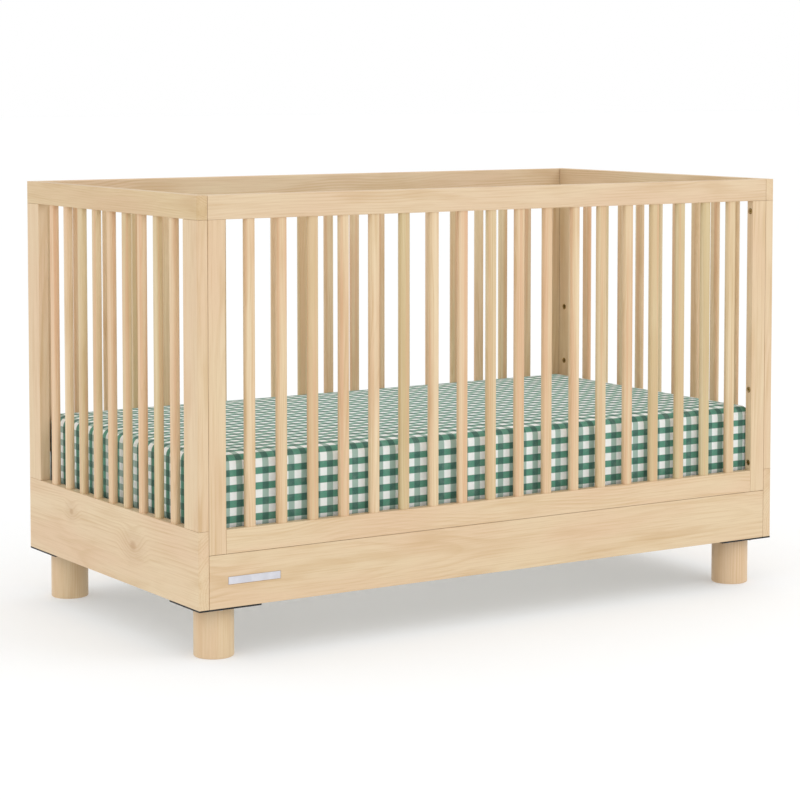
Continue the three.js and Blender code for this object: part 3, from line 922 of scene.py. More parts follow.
class FacingParts(Recipe):
    """A small part repeated on points, with its top along each point's facing."""

    def draw(self) -> Wire:
        """Puts the part on the points.

        Returns:
            The parts.
        """
        kind, name = {"data_type": "FLOAT_VECTOR"}, {"Name": "facing"}
        facing = self.graph.node("GeometryNodeInputNamedAttribute", kind, name)
        return self.repeated(self.input("Points"), self.part(), Rotation=self.towards(facing))

    def part(self) -> Wire:
        """Adds the part's nodes. It stands on the origin with its top along Z."""
        raise NotImplementedError

    def drum(self, sides: int, radius: Any, low: Any, high: Any, top: Any = None) -> Wire:
        """An upright drum or cone.

        Args:
            sides: Flats round it.
            radius: Radius at the foot.
            low: Height of its foot.
            high: Height of its top.
            top: Radius at the top, if it differs.

        Returns:
            The closed mesh.
        """
        values = {"Vertices": sides, "Radius Bottom": radius, "Depth": high - low}
        values["Radius Top"] = radius if top is None else top
        return self.raised(self.graph.node("GeometryNodeMeshCone", None, values), low)

    def cut(self, whole: Wire, parts: list[Wire]) -> Wire:
        """Cuts parts out of a mesh."""
        settings = {"operation": "DIFFERENCE", "solver": "EXACT"}
        return self.graph.node("GeometryNodeMeshBoolean", settings, {0: whole, 1: parts})

    def united(self, parts: list[Wire]) -> Wire:
        """Joins overlapping parts into one solid."""
        settings = {"operation": "UNION", "solver": "EXACT"}
        return self.graph.node("GeometryNodeMeshBoolean", settings, {1: parts})


class SocketScrew(FacingParts):
    """A screw with a low rounded head and a hex socket, seen from its head's side."""

    INPUTS = {"Radius": 0.006, "Height": 0.004, "Socket": 0.0029, "Shank": 0.003, "Length": 0.03}

    def part(self) -> Wire:
        """Adds the screw's nodes.

        Returns:
            The screw.
        """
        radius, height = self.input("Radius"), self.input("Height")
        head = self.drum(40, radius, 0.0 * height, height * 0.5)
        dome = self.drum(40, radius, height * 0.5, height, radius * 0.78)
        shank = self.drum(24, self.input("Shank"), 0 - self.input("Length"), height * 0.2)
        socket = self.drum(6, self.input("Socket"), height * 0.3, height * 1.2)
        return self.cut(self.united([head, dome, shank]), [socket])


class CrossScrew(FacingParts):
    """A pan-head wood screw with a cross recess."""

    INPUTS = {"Radius": 0.0045, "Height": 0.0022, "Slot": 0.0009}

    def part(self) -> Wire:
        """Adds the screw's nodes.

        Returns:
            The screw.
        """
        graph = self.graph
        radius, height, slot = self.input("Radius"), self.input("Height"), self.input("Slot")
        head = self.drum(32, radius, 0.0 * height, height * 0.45)
        dome = self.drum(32, radius, height * 0.45, height, radius * 0.7)
        shank = self.drum(16, radius * 0.42, 0 - height * 3, height * 0.2)
        bars = []
        for size in ((radius * 1.1, slot), (slot, radius * 1.1)):
            values = {"Size": graph.join(*size, height * 1.2)}
            bars.append(self.raised(graph.node("GeometryNodeMeshCube", None, values), height))
        return self.cut(self.united([head, dome, shank]), bars)


class ThreadedInsert(FacingParts):
    """A flush threaded bush: a flat rim round a grooved bore."""

    INPUTS = {"Radius": 0.0064, "Bore": 0.0041, "Depth": 0.0135, "Pitch": 0.0015}

    def part(self) -> Wire:
        """Adds the bush's nodes.

        Returns:
            The bush.
        """
        depth, bore, pitch = self.input("Depth"), self.input("Bore"), self.input("Pitch")
        body = self.drum(40, self.input("Radius"), 0 - depth, 0.0 * depth)
        hole = self.drum(40, bore, 0 - depth * 0.93, depth * 0.1)
        spiral = self.spiral(20, bore, depth * 0.8 / pitch, depth * 0.8)
        thread = self.raised(self.swept(spiral, self.circle(5, pitch * 0.28)), 0 - depth * 0.87)
        both = {0: [self.cut(body, [hole]), thread]}
        return self.graph.node("GeometryNodeJoinGeometry", None, both)


class CoilSpring(FacingParts):
    """A helical spring along each point's facing."""

    INPUTS = {"Radius": 0.0024, "Wire": 0.0005, "Length": 0.022, "Turns": 9.0}

    def part(self) -> Wire:
        """Adds the spring's nodes."""
        coil = self.spiral(12, self.input("Radius"), self.input("Turns"), self.input("Length"))
        return self.swept(coil, self.circle(5, self.input("Wire")))


class WireRow(Recipe):
    """A row of straight wires."""

    INPUTS = {
        "Count": 10,
        "First": Vector((0, 0, 0)),
        "Step": Vector((0.06, 0, 0)),
        "Span": Vector((0, 1, 0)),
        "Radius": 0.0014,
    }

    def draw(self) -> Wire:
        """Adds the recipe's own nodes, and gives the wires."""
        axis = self.straight(End=self.input("Span"))
        return self.repeated(self.line(), self.swept(axis, self.circle(12, self.input("Radius"))))


class StitchRow(Recipe):
    """Short stitches that follow a line of points."""

    INPUTS = {"Pitch": 0.0042, "Stitch": 0.0028, "Thread": 0.00035}

    def draw(self) -> Wire:
        """Adds the recipe's own nodes.

        Returns:
            The stitches.
        """
        graph = self.graph
        path = graph.node("GeometryNodeMeshToCurve", None, {0: self.input("Points")})
        values = {"Curve": path, "Length": self.input("Pitch")}
        path = graph.node("GeometryNodeResampleCurve", {"mode": "LENGTH"}, values)
        start, end = (graph.join(0.0, 0.0, self.input("Stitch") * half) for half in (-0.5, 0.5))
        axis = self.straight(Start=start, End=end)
        stitch = self.swept(axis, self.circle(6, self.input("Thread")))
        turn = self.towards(graph.node("GeometryNodeInputTangent"))
        return self.repeated(path, stitch, Rotation=turn)


def joined(meshes: Sequence[bpy.types.Mesh]) -> bpy.types.Mesh:
    """Joins meshes of one material into one.

    Args:
        meshes: The meshes.

    Returns:
        One mesh that holds them all.
    """
    whole = bmesh.new()
    for mesh in meshes:
        whole.from_mesh(mesh)
    data = baked("joined", whole)
    for material in meshes[0].materials:
        data.materials.append(material)
    data.set_sharp_from_angle(angle=SHARP_PART)
    return data


# ---- Panels --------------------------------------------------------------------------------


@dataclass(frozen=True)
class Slats:
    """A panel's rounded slats, evenly spread between its two outer parts."""

    panel: str
    count: int
    seed: int
    width: float = 0.022
    depth: float = 0.014
    radius: float = 0.006
    edge_gap: float = 0.043
    socket_depth: float = 0.002

    def build(self, axis: int, ends: tuple[float, float], below: str, above: str) -> None:
        """Makes the row.

        Args:
            axis: The axis that the row runs along, 0 or 1.
            ends: Where the outer parts' inner faces are, on that axis.
            below: The node that the slats stand on.
            above: The node that they reach up to.
        """
        node = f"{self.panel}_slats"
        low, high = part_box(node)
        first = ends[0] + self.edge_gap + self.width / 2
        step = (ends[1] - self.edge_gap - self.width / 2 - first) / (self.count - 1)
        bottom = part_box(below)[1].z - self.socket_depth
        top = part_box(above)[0].z + self.socket_depth
        start = [(low.x + high.x) / 2, (low.y + high.y) / 2, bottom]
        move, size = [0.0, 0.0, 0.0], [self.depth, self.depth]
        start[axis], move[axis], size[axis] = first, step, self.width
        wood = Wood(node + "_wood", Grain.Z, Tone.SLAT, heart=(0.4, 0.3), per_slat=True).material()
        mesh = SlatRow(wood).run(
            Count=self.count,
            First=Vector(start),
            Step=Vector(move),
            Size_X=size[0],
            Size_Y=size[1],
            Radius=self.radius,
            Height=top - bottom,
            Seed=self.seed,
        )
        finished(place(f"{self.panel}_slat_row", mesh), None, "frame", [node])


def board(node: str, block: EasedBlock, **wood: Any) -> None:
    """Makes one wooden part.

    Args:
        node: The node that it stands for.
        block: Its shape.
        wood: What sets its grain apart.
    """
    piece = block.build(node + "_wood")
    finish = Wood(node + "_wood", middle=tuple((block.low + block.high) / 2), **wood)
    finished(piece, finish.material(), "frame", [node])


@dataclass
class EndPanel:
    """An end of the crib: a wide board, two posts, a top rail and nine slats."""

    name: str
    end: int
    seed: int = 3
    slats: int = 9
    corner: float = 0.004
    insert_radius: float = 0.0065
    insert_depth: float = 0.015
    levels: tuple[float, ...] = (0.281, 0.408, 0.535)
    from_side: float = 0.037

    def part(self, part: str, bores: Sequence[Bore] = (), **wood: Any) -> None:
        """Makes one wooden part with the panel's rounded outer corners.

        Args:
            part: The last words of its node's name.
            bores: Holes in it.
            wood: What sets this part's grain apart.
        """
        low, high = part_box(f"{self.name}_end_{part}")
        if part.endswith("post"):
            low.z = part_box(f"{self.name}_end_board")[1].z + GLUE_LINE
            high.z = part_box(f"{self.name}_end_top_rail")[0].z - GLUE_LINE
        sides = [s for s in (-1, 1) if abs((low.y, high.y)[s > 0]) > abs(CAD_BOX[1].y) - MM]
        upright = {(self.end, side): self.corner for side in sides}
        block = EasedBlock(low, high, upright=upright, bores=bores)
        board(f"{self.name}_end_{part}", block, **wood)

    def build(self) -> None:
        """Makes the panel's parts."""
        turn = self.end * 0.7
        knots = (Knot(-0.105, 0.004, 0.014), Knot(0.17, 0.03, 0.009))
        plain: dict[str, Any] = {"grain": Grain.Y, "offset": (0.0, turn, 0.0), "heart": (0.06, -0.05)}
        self.part("board", knots=knots if self.end < 0 else knots[1:], ring=0.0055, **plain)
        tone = Tone.END_RAIL if self.end < 0 else Tone.BOARD
        self.part("top_rail", grain=Grain.Y, tone=tone, offset=(0.3, turn, 0.4))
        for side, label in SIDES.items():
            inner = inward(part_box(f"{self.name}_end_{label}_post"), self.end)
            start, stop = inner - self.end * MM, inner + self.end * self.insert_depth
            y = side * (CAD_BOX[1].y - self.from_side)
            bores = [Bore((start, y, z), (stop, y, z), self.insert_radius) for z in self.levels]
            offset = (turn, side * 0.6, 0.2 * side + turn)
            self.part(f"{label}_post", bores, grain=Grain.Z, offset=offset)
        panel = f"{self.name}_end"
        low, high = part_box(f"{panel}_slats")
        slats = Slats(panel, self.slats, self.seed)
        slats.build(1, (low.y, high.y), f"{panel}_board", f"{panel}_top_rail")


@dataclass
class LongSide:
    """The front or back: top rail, bottom rail, deep apron, two stiles and eighteen slats."""

    name: str
    side: int
    seed: int = 8
    slats: int = 18
    top_edge: float = 0.0025
    seam: float = 0.0004
    head_radius: float = 0.0065
    head_depth: float = 0.005
    bolt_levels: tuple[float, ...] = (0.261, 0.416, 0.793)
    label_gap: float = 0.0009

    def stile_bores(self, end: int) -> list[Bore]:
        """The counterbores in a stile's inner edge.

        Args:
            end: -1 for the left stile and 1 for the right one.

        Returns:
            One bore for each bolt, as deep as the counterbore.
        """
        low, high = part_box(f"{self.name}_{ENDS[end]}_stile")
        inner, y = inward((low, high), end), (low.y + high.y) / 2
        start, stop = inner - end * MM, inner + end * self.head_depth
        return [Bore((start, y, z), (stop, y, z), self.head_radius) for z in self.bolt_levels]

    def part(self, part: str, block: dict[str, Any], **wood: Any) -> None:
        """Makes one wooden part, a seam's width short of the part beside it.

        Args:
            part: The last words of its node's name.
            block: What sets its shape apart.
            wood: What sets its grain apart.
        """
        node = f"{self.name}_{part}"
        low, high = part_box(node)
        if part.endswith("stile"):
            high.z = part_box(f"{self.name}_top_rail")[0].z - GLUE_LINE
        if not part.startswith("right") and part != "bottom_rail":
            low.x += self.seam
        if not part.startswith("left") and part != "bottom_rail":
            high.x -= self.seam
        if part == "apron":
            high.z -= self.seam
        board(node, EasedBlock(low, high, **block), **wood)

    def build(self) -> None:
        """Makes the side's parts."""
        far = self.side * 0.9
        top = {"top_edges": self.top_edge}
        self.part("top_rail", top, tone=Tone.TOP, offset=(far, 0.2, -0.5), heart=(0.04, 0.05))
        self.part("bottom_rail", {}, offset=(far + 0.4, 0.5, 0.1), heart=(0.06, -0.05))
        apron: dict[str, Any] = {}
        if self.side < 0:
            low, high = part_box("label_plate")
            gap = Vector((self.label_gap, 0, self.label_gap))
            apron["pocket"] = (low - gap - Vector((0, MM, 0)), high + gap)
        self.part("apron", apron, offset=(far * 0.5, 0.3, 0.0), heart=(0.055, 0.005), ring=0.005)
        for end, label in ENDS.items():
            offset = (far, end * 0.5, 0.3 * end + far)
            bores = {"bores": self.stile_bores(end)}
            self.part(f"{label}_stile", bores, grain=Grain.Z, offset=offset)
        ends = [inward(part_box(f"{self.name}_{label}_stile"), end) for end, label in ENDS.items()]
        slats = Slats(self.name, self.slats, self.seed)
        slats.build(0, (ends[0], ends[1]), f"{self.name}_bottom_rail", f"{self.name}_top_rail")


# ---- Legs and fittings ---------------------------------------------------------------------


@dataclass
class Leg:
    """A turned round leg with eased ends."""

    end: int
    side: int
    ease: float = 0.003
    steps: int = 4

    def build(self) -> None:
        """Makes the leg."""
        node = f"{SIDES[self.side]}_{ENDS[self.end]}_leg"
        low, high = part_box(node)
        radius, ease = (high.x - low.x) / 2, self.ease
        centre = Vector(((low.x + high.x) / 2, (low.y + high.y) / 2, 0))
        quarter = [math.pi / 2 * i / self.steps for i in range(self.steps + 1)]
        foot = [
            (radius - ease * (1 - math.sin(a)), low.z + ease * (1 - math.cos(a))) for a in quarter
        ]
        head = [(r, high.z - (z - low.z)) for r, z in reversed(foot)]
        mesh = lathe(node + "_wood", [(0, low.z), *foot, *head, (0, high.z)], centre)
        offset = (self.end * 0.4, self.side * 0.3, self.end * self.side * 0.2)
        wood = Wood(node + "_wood", Grain.Z, Tone.LEG, tuple(centre), offset, heart=(0.09, 0.03))
        finished(place(node + "_wood", mesh), wood.material(), "frame", [node])


@dataclass
class Fittings:
    """Bolts, screws, bushes and the blank label plate."""

    stile_bolt: dict[str, float] = field(default_factory=lambda: {"Height": 0.004, "Radius": 0.0059})
    support_bolt: dict[str, float] = field(
        default_factory=lambda: {
            "Radius": 0.008,
            "Height": 0.005,
            "Socket": 0.0035,
            "Shank": 0.004,
            "Length": 0.016,
        }
    )
    bush_radius: float = 0.0064
    screws_along: tuple[float, ...] = (0.050, 0.110)
    screws_across: tuple[float, ...] = (0.048, 0.102)
    label_ease: float = 0.0003

    def build(self, metals: dict[str, bpy.types.Material]) -> None:
        """Makes every fitting.

        Args:
            metals: The metals by name.
        """
        kinds = [f"stile_bolt_{level}" for level in ("low", "middle", "top")]
        self.bolts("stile_bolts", kinds, metals["brass"], self.stile_bolt)
        self.bolts("support_bolts", ["support_bolt"], metals["zinc"], self.support_bolt)
        self.bushes(metals["brass"])
        self.plate_screws(metals["zinc"])
        plate = EasedBlock(*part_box("label_plate"), ease=self.label_ease, segments=2)
        label = plate.build("label_blank")
        finished(label, metals["label"], "frame", ["label_plate"])

    def bolts(
        self, name: str, kinds: Sequence[str], metal: bpy.types.Material, sizes: dict[str, float]
    ) -> None:
        """Makes the socket bolts of one size, at all four corners.

        Args:
            name: The piece's name.
            kinds: The last words of the bolts' nodes at one corner.
            metal: Their finish.
            sizes: Their sizes, as the recipe names them.
        """
        points, facing, nodes = [], [], []
        for side_name in SIDES.values():
            for end, end_name in ENDS.items():
                for kind in kinds:
                    node = f"{side_name}_{end_name}_{kind}"
                    low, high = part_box(node)
                    face = inward((low, high), end) + end * sizes["Height"]
                    points.append(Vector((face, (low.y + high.y) / 2, (low.z + high.z) / 2)))
                    facing.append(Vector((-end, 0, 0)))
                    nodes.append(node)
        mesh = SocketScrew(metal).run(point_mesh(points, facing), **sizes)
        finished(place(name, mesh), None, "frame", nodes)

    def bushes(self, metal: bpy.types.Material) -> None:
        """Makes the threaded bushes of the three support heights.

        Args:
            metal: Their finish.
        """
        points, facing = [], []
        for end, end_name in ENDS.items():
            panel = EndPanel(end_name, end)
            face = inward(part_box(f"{end_name}_end_front_post"), end) + end * GLUE_LINE
            for side in SIDES:
                for z in panel.levels:
                    points.append(Vector((face, side * (CAD_BOX[1].y - panel.from_side), z)))
                    facing.append(Vector((-end, 0, 0)))
        mesh = ThreadedInsert(metal).run(point_mesh(points, facing), Radius=self.bush_radius)
        finished(place("post_bushes", mesh), None, "frame")

    def plate_screws(self, metal: bpy.types.Material) -> None:
        """Makes the wood screws that hold the four leg plates.

        Args:
            metal: Their finish.
        """
        corner = CAD_BOX[1]
        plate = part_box("front_left_leg_plate")[0].z
        board_low, board_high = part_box("left_end_board")
        apron_low, apron_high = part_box("front_apron")
        from_end, from_side = (board_high.x - board_low.x) / 2, (apron_high.y - apron_low.y) / 2
        insets = [(along, from_side) for along in self.screws_along]
        insets += [(from_end, across) for across in self.screws_across]
        points = [
            Vector((end * (corner.x - x), side * (corner.y - y), plate))
            for side in SIDES
            for end in ENDS
            for x, y in insets
        ]
        facing = [Vector((0, 0, -1))] * len(points)
        mesh = CrossScrew(metal).run(point_mesh(points, facing))
        finished(place("leg_plate_screws", mesh), None, "frame")


# ---- Mattress support ----------------------------------------------------------------------


@dataclass
class SpringDeck:
    """A wire deck in a rod border, held to the steel frame by a spring at each wire's end."""

    flange: float = 0.022
    spring_length: float = 0.024
    spring_radius: float = 0.0022
    overlap: float = 0.004
    wire_radius: float = 0.0014
    weave: float = 0.9
    border_radius: float = 0.0022
    below: float = 0.0002
    pitch: float = 0.0632

    def build(self, steel: bpy.types.Material) -> None:
        """Makes the deck and its springs.

        Args:
            steel: Their finish.
        """
        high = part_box("support_deck")[1]
        middle = high.z - self.below - (1 + self.weave) * self.wire_radius
        inset = self.flange + self.spring_length
        half = Vector((high.x - inset + self.overlap, high.y - inset + self.overlap, 0))
        counts = [round(2 * h / self.pitch) for h in half.xy]
        steps = [2 * h / n for h, n in zip(half.xy, counts)]
        rows = WireRow(steel)
        wires, rods, points, facing = [], [], [], []
        for axis, lift in ((0, self.weave), (1, -self.weave)):
            first, step, span = [-half.x, -half.y, middle], [0.0] * 3, [0.0] * 3
            step[axis], span[1 - axis] = 2 * half[axis], 2 * half[1 - axis]
            border = {"First": Vector(first), "Step": Vector(step), "Span": Vector(span)}
            rods.append(rows.run(Count=2, Radius=self.border_radius, **border))
            step[axis] = steps[axis]
            first[axis] += steps[axis]
            first[2] += lift * self.wire_radius
            row = {"First": Vector(first), "Step": Vector(step), "Span": Vector(span)}
            wires.append(rows.run(Count=counts[axis] - 1, Radius=self.wire_radius, **row))
        for sign in (-1, 1):
            for axis in (0, 1):
                for i in range(1, counts[axis]):
                    point, out = Vector((0, 0, middle)), Vector((0, 0, 0))
                    point[axis], point[1 - axis] = i * steps[axis] - half[axis], sign * half[1 - axis]
                    out[1 - axis] = sign
                    points.append(point)
                    facing.append(out)
        sizes = {"Length": self.spring_length, "Radius": self.spring_radius}
        springs = CoilSpring(steel).run(point_mesh(points, facing), **sizes)
        mesh = joined([*wires, *rods, springs])
        finished(place("spring_deck", mesh), None, "support", ["support_deck"])


# ---- Mattress and fitted sheet -------------------------------------------------------------


@dataclass
class Mattress:
    """A firm mattress that swells a little in its cover, and the gingham sheet stretched on it."""

    corner: float = 0.024
    roll: float = 0.016
    shrink: float = 0.003
    fullness: tuple[float, float, float] = (-0.0008, 0.002, 0.0)
    cap: float = 0.0055
    pressure: float = 4.0
    frames: int = 20
    spacing: float = 0.0145
    edge_steps: tuple[float, ...] = (0.0, 0.0053, 0.0107, 0.016, 0.023)
    sheet_gap: float = 0.0006
    cloth: float = 0.0008
    hem: float = 0.060
    pucker: float = 0.0009
    pucker_reach: float = 0.11
    pucker_turns: tuple[float, float] = (210.0, 24.0)
    fill: float = 0.9
    cloth_quality: int = 4
    cloth_mass: float = 0.3
    cloth_stiffness: float = 15.0

    def __post_init__(self) -> None:
        """Takes the sizes of the mattress from its CAD node."""
        low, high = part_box("mattress")
        self.half = (high - low) / 2
        self.middle = (high + low) / 2

    def stations(self, half: float) -> np.ndarray:
        """Grid lines along one axis, closer at its two ends.

        Args:
            half: Half of the mattress along that axis.

        Returns:
            Positions from -half to half.
        """
        edge = np.array(self.edge_steps)
        room = half - edge[-1]
        count = max(2, round(2 * room / self.spacing))
        inner = np.linspace(-room, room, count + 1)[1:-1]
        return np.concatenate([edge - half, inner, (half - edge)[::-1]])

    def box_grid(self) -> tuple[np.ndarray, list[tuple[int, ...]]]:
        """A closed box of small rectangles.

        Returns:
            Its points, and its faces pointing outwards.
        """
        axes = [self.stations(h) for h in self.half]
        points: dict[tuple[int, int, int], int] = {}
        faces: list[tuple[int, ...]] = []
        for axis in range(3):
            u, v = (axis + 1) % 3, (axis + 2) % 3
            for last in (0, len(axes[axis]) - 1):
                for i in range(len(axes[u]) - 1):
                    for j in range(len(axes[v]) - 1):
                        corners = []
                        for a, b in ((i, j), (i + 1, j), (i + 1, j + 1), (i, j + 1)):
                            key = [0, 0, 0]
                            key[axis], key[u], key[v] = last, a, b
                            corners.append(points.setdefault((key[0], key[1], key[2]), len(points)))
                        faces.append(tuple(corners if last else corners[::-1]))
        grid = np.array([[axes[k][key[k]] for k in range(3)] for key in points])
        return grid, faces

    def shape(self, grid: np.ndarray) -> tuple[np.ndarray, dict[str, np.ndarray]]:
        """Rounds the box's upright corners and rolls its edges.

        Args:
            grid: Points of the sharp box, about its own middle.

        Returns:
            The rounded points, and what the cloth's pattern needs for each of them.
        """
        half = np.array(self.half)
        sign = np.where(grid < 0, -1.0, 1.0)
        x, y, z = np.abs(grid).T
        over = np.stack([x - (half[0] - self.corner), y - (half[1] - self.corner)], 1)
        in_corner = (over > 0).all(1)
        ring = np.maximum(over.max(1), SPECK)
        reach = np.maximum(np.hypot(*over.T), SPECK)
        round_x = np.where(in_corner, half[0] - self.corner + over[:, 0] * ring / reach, x)
        round_y = np.where(in_corner, half[1] - self.corner + over[:, 1] * ring / reach, y)
        inset = np.where(in_corner, self.corner - ring, np.minimum(half[0] - x, half[1] - y))
        nearer_end = half[0] - x < half[1] - y
        out = np.stack([np.where(nearer_end, 1.0, 0.0), np.where(nearer_end, 0.0, 1.0)], 1)
        out = np.where(in_corner[:, None], over / reach[:, None], out)
        deep = half[2] - z
        rolled = (inset < self.roll - TINY) & (deep < self.roll - TINY)
        o, u = self.roll - inset, self.roll - deep
        scale = np.where(rolled, np.maximum(o, u) / np.maximum(np.hypot(o, u), SPECK), 1.0)
        new_inset, new_deep = self.roll - o * scale, self.roll - u * scale
        new_inset = np.where(rolled, new_inset, inset)
        new_deep = np.where(rolled, new_deep, deep)
        move = (inset - new_inset)[:, None] * out
        shaped = np.stack([round_x + move[:, 0], round_y + move[:, 1], half[2] - new_deep], 1) * sign
        angle = np.arctan2(self.roll - new_inset, np.maximum(self.roll - new_deep, SPECK))
        side_path = self.roll * math.pi / 2 + np.maximum(deep - self.roll, 0)
        upright = deep >= self.roll - TINY
        path = np.where(rolled, self.roll * angle, np.where(upright, side_path, self.roll - inset))
        lower = grid[:, 2] < 0
        height = 2 * (half[2] - self.roll) + self.roll * math.pi
        path = np.where(lower, height - path, path)
        bearing = np.arctan2(out[:, 0], out[:, 1])
        facts = {
            "path": path,
            "inset": inset,
            "in_corner": in_corner,
            "bearing": bearing,
            "ring": ring,
            "sign": sign,
            "flat": np.stack([round_x, round_y], 1) * sign[:, :2],
            "lower": lower,
        }
        return shaped, facts

    def cloth_place(self, facts: dict[str, np.ndarray], i: int, on_end: bool) -> tuple[float, float]:
        """Where a point of the sheet lies on the flat cloth.

        Args:
            facts: What shape() says of every point.
            i: The point.
            on_end: Whether its face belongs to an end of the mattress or to a long side.

        Returns:
            The place on the cloth, in metres.
        """
        sx, sy = facts["sign"][i][:2]
        path, bearing = facts["path"][i], facts["bearing"][i]
        x, y = facts["flat"][i]
        if path < TINY:
            return (x, y)
        if facts["in_corner"][i]:
            turn = math.pi / 2 - bearing if on_end else bearing
            run = (self.half[1] if on_end else self.half[0]) - self.corner + self.corner * turn
            wound = run * (sy if on_end else sx)
            blend = min(1.0, facts["ring"][i] / self.corner) ** 2
        else:
            wound, blend = (y if on_end else x), 1.0
        if on_end:
            far = (self.half[0] - self.roll + path) * sx
            side = (far, wound)
        else:
            far = (self.half[1] - self.roll + path) * sy
            side = (wound, far)
        return (x + (side[0] - x) * blend, y + (side[1] - y) * blend)

    def swell(self, points: np.ndarray, faces: list[tuple[int, ...]]) -> np.ndarray:
        """Inflates the cover as cloth, and caps how far it moves.

        Args:
            points: The shape that it starts from.
            faces: Its faces.

        Returns:
            The swollen points.
        """
        piece = place("swelling", plain_mesh("swelling", points.tolist(), faces))
        cloth = piece.modifiers.new("swell", "CLOTH")
        settings = cloth.settings
        settings.use_pressure = True
        settings.uniform_pressure_force = self.pressure
        settings.quality = self.cloth_quality
        settings.mass = self.cloth_mass
        settings.tension_stiffness = settings.compression_stiffness = self.cloth_stiffness
        settings.effector_weights.gravity = 0
        cloth.collision_settings.use_collision = False
        cloth.point_cache.frame_start, cloth.point_cache.frame_end = 1, self.frames
        for number in range(1, self.frames + 1):
            bpy.context.scene.frame_set(number)
        mesh = flatten(piece)
        moved = np.zeros(len(points) * 3)
        mesh.vertices.foreach_get("co", moved)
        bpy.context.scene.frame_set(1)
        step = moved.reshape(-1, 3) - points
        length = np.maximum(np.linalg.norm(step, axis=1, keepdims=True), 1e-12)
        return points + step / length * self.cap * np.tanh(length / self.cap)

    def build(
        self, ticking: bpy.types.Material, gingham: bpy.types.Material, thread: bpy.types.Material
    ) -> None:
        """Makes the mattress, the sheet and the sheet's corner stitches.

        Args:
            ticking: The mattress's cover.
            gingham: The sheet's cloth.
            thread: The stitches.
        """
        grid, faces = self.box_grid()
        shaped, facts = self.shape(grid)
        small = shaped * (1 - self.shrink / np.array(self.half))
        swollen = self.swell(small, faces)
        full = np.array(self.half) + np.array(self.fullness)
        swollen = swollen * np.array([*(full / np.abs(swollen).max(0))[:2], 1.0])
        swollen[:, 2] = np.clip(swollen[:, 2], -full[2], full[2])
        flat_under = facts["lower"] & (facts["inset"] > self.roll)
        swollen[flat_under, 2] = -self.half[2]
        points = swollen + np.array(self.middle)
        self.mattress(points, faces, ticking)
        self.sheet(points, faces, facts, gingham, thread)

    def mattress(
        self, points: np.ndarray, faces: list[tuple[int, ...]], ticking: bpy.types.Material
    ) -> None:
        """Makes the padded mattress.

        Args:
            points: The swollen shape.
            faces: Its faces.
            ticking: Its cover.
        """
        piece = place("mattress_pad", plain_mesh("mattress_pad", points.tolist(), faces))
        piece.modifiers.new("finer", "SUBSURF").levels = 1
        piece = place("mattress_pad", flatten(piece))
        piece.data.shade_smooth()
        finished(piece, ticking, "mattress", ["mattress"])

    def sheet(
        self,
        points: np.ndarray,
        faces: list[tuple[int, ...]],
        facts: dict[str, np.ndarray],
        gingham: bpy.types.Material,
        thread: bpy.types.Material,
    ) -> None:
        """Makes the fitted sheet over the mattress, open underneath inside its hem.

        Args:
            points: The swollen mattress.
            faces: Its faces.
            facts: What shape() says of every point.
            gingham: The cloth.
            thread: The stitches.
        """
        data = plain_mesh("probe", points.tolist(), faces)
        normals = np.zeros(len(points) * 3)
        data.vertices.foreach_get("normal", normals)
        bpy.data.meshes.remove(data)
        normals = normals.reshape(-1, 3)
        skin = points + normals * self.sheet_gap
        skin += normals * (self.wrinkles(facts) * self.pucker)[:, None]
        open_below = facts["lower"] & (facts["inset"] > self.hem)
        kept = [face for face in faces if not all(open_below[i] for i in face)]
        data = plain_mesh("gingham_sheet", skin.tolist(), kept)
        layer = data.uv_layers.new(name="cloth")
        half = np.array(self.half)
        for polygon in data.polygons:
            x, y = facts["flat"][list(polygon.vertices)].mean(0)
            on_end = half[0] - abs(x) < half[1] - abs(y)
            for loop, i in zip(polygon.loop_indices, polygon.vertices):
                layer.data[loop].uv = self.cloth_place(facts, i, bool(on_end))
        piece = place("gingham_sheet", data)
        finer = piece.modifiers.new("finer", "SUBSURF")
        finer.levels, finer.uv_smooth = 1, "NONE"
        wall = piece.modifiers.new("thickness", "SOLIDIFY")
        wall.thickness, wall.offset = self.cloth, 1.0
        mesh = flatten(piece)
        mesh.shade_smooth()
        piece = finished(place("gingham_sheet", mesh), gingham, "mattress", ["fitted_sheet"])
        stitches = self.corner_stitches(skin + normals * self.cloth, facts, thread)
        size = 2 * half[:2] - 2 * self.roll + 2 * (2 * (half[2] - self.roll) + self.roll * math.pi + self.hem)
        drop = (size - 2 * half[:2]) / 2
        area = float(size[0] * size[1] - 4 * drop[0] * drop[1])

    def wrinkles(self, facts: dict[str, np.ndarray]) -> np.ndarray:
        """Soft folds that fade away from the corners, where the sheet is pulled in.

        Args:
            facts: What shape() says of every point.

        Returns:
            From 0, no fold, to 1, the crest of one.
        """
        away = np.hypot(*(np.abs(facts["flat"]) - np.array(self.half)[:2]).T)
        near = np.exp(-((away / self.pucker_reach) ** 2))
        sides = (facts["path"] > 0) & ~(facts["lower"] & (facts["inset"] > self.roll))
        run = np.abs(facts["flat"]).sum(1)
        fold = 0.5 + 0.5 * np.sin(run * self.pucker_turns[0] + facts["path"] * self.pucker_turns[1])
        return near * sides * fold

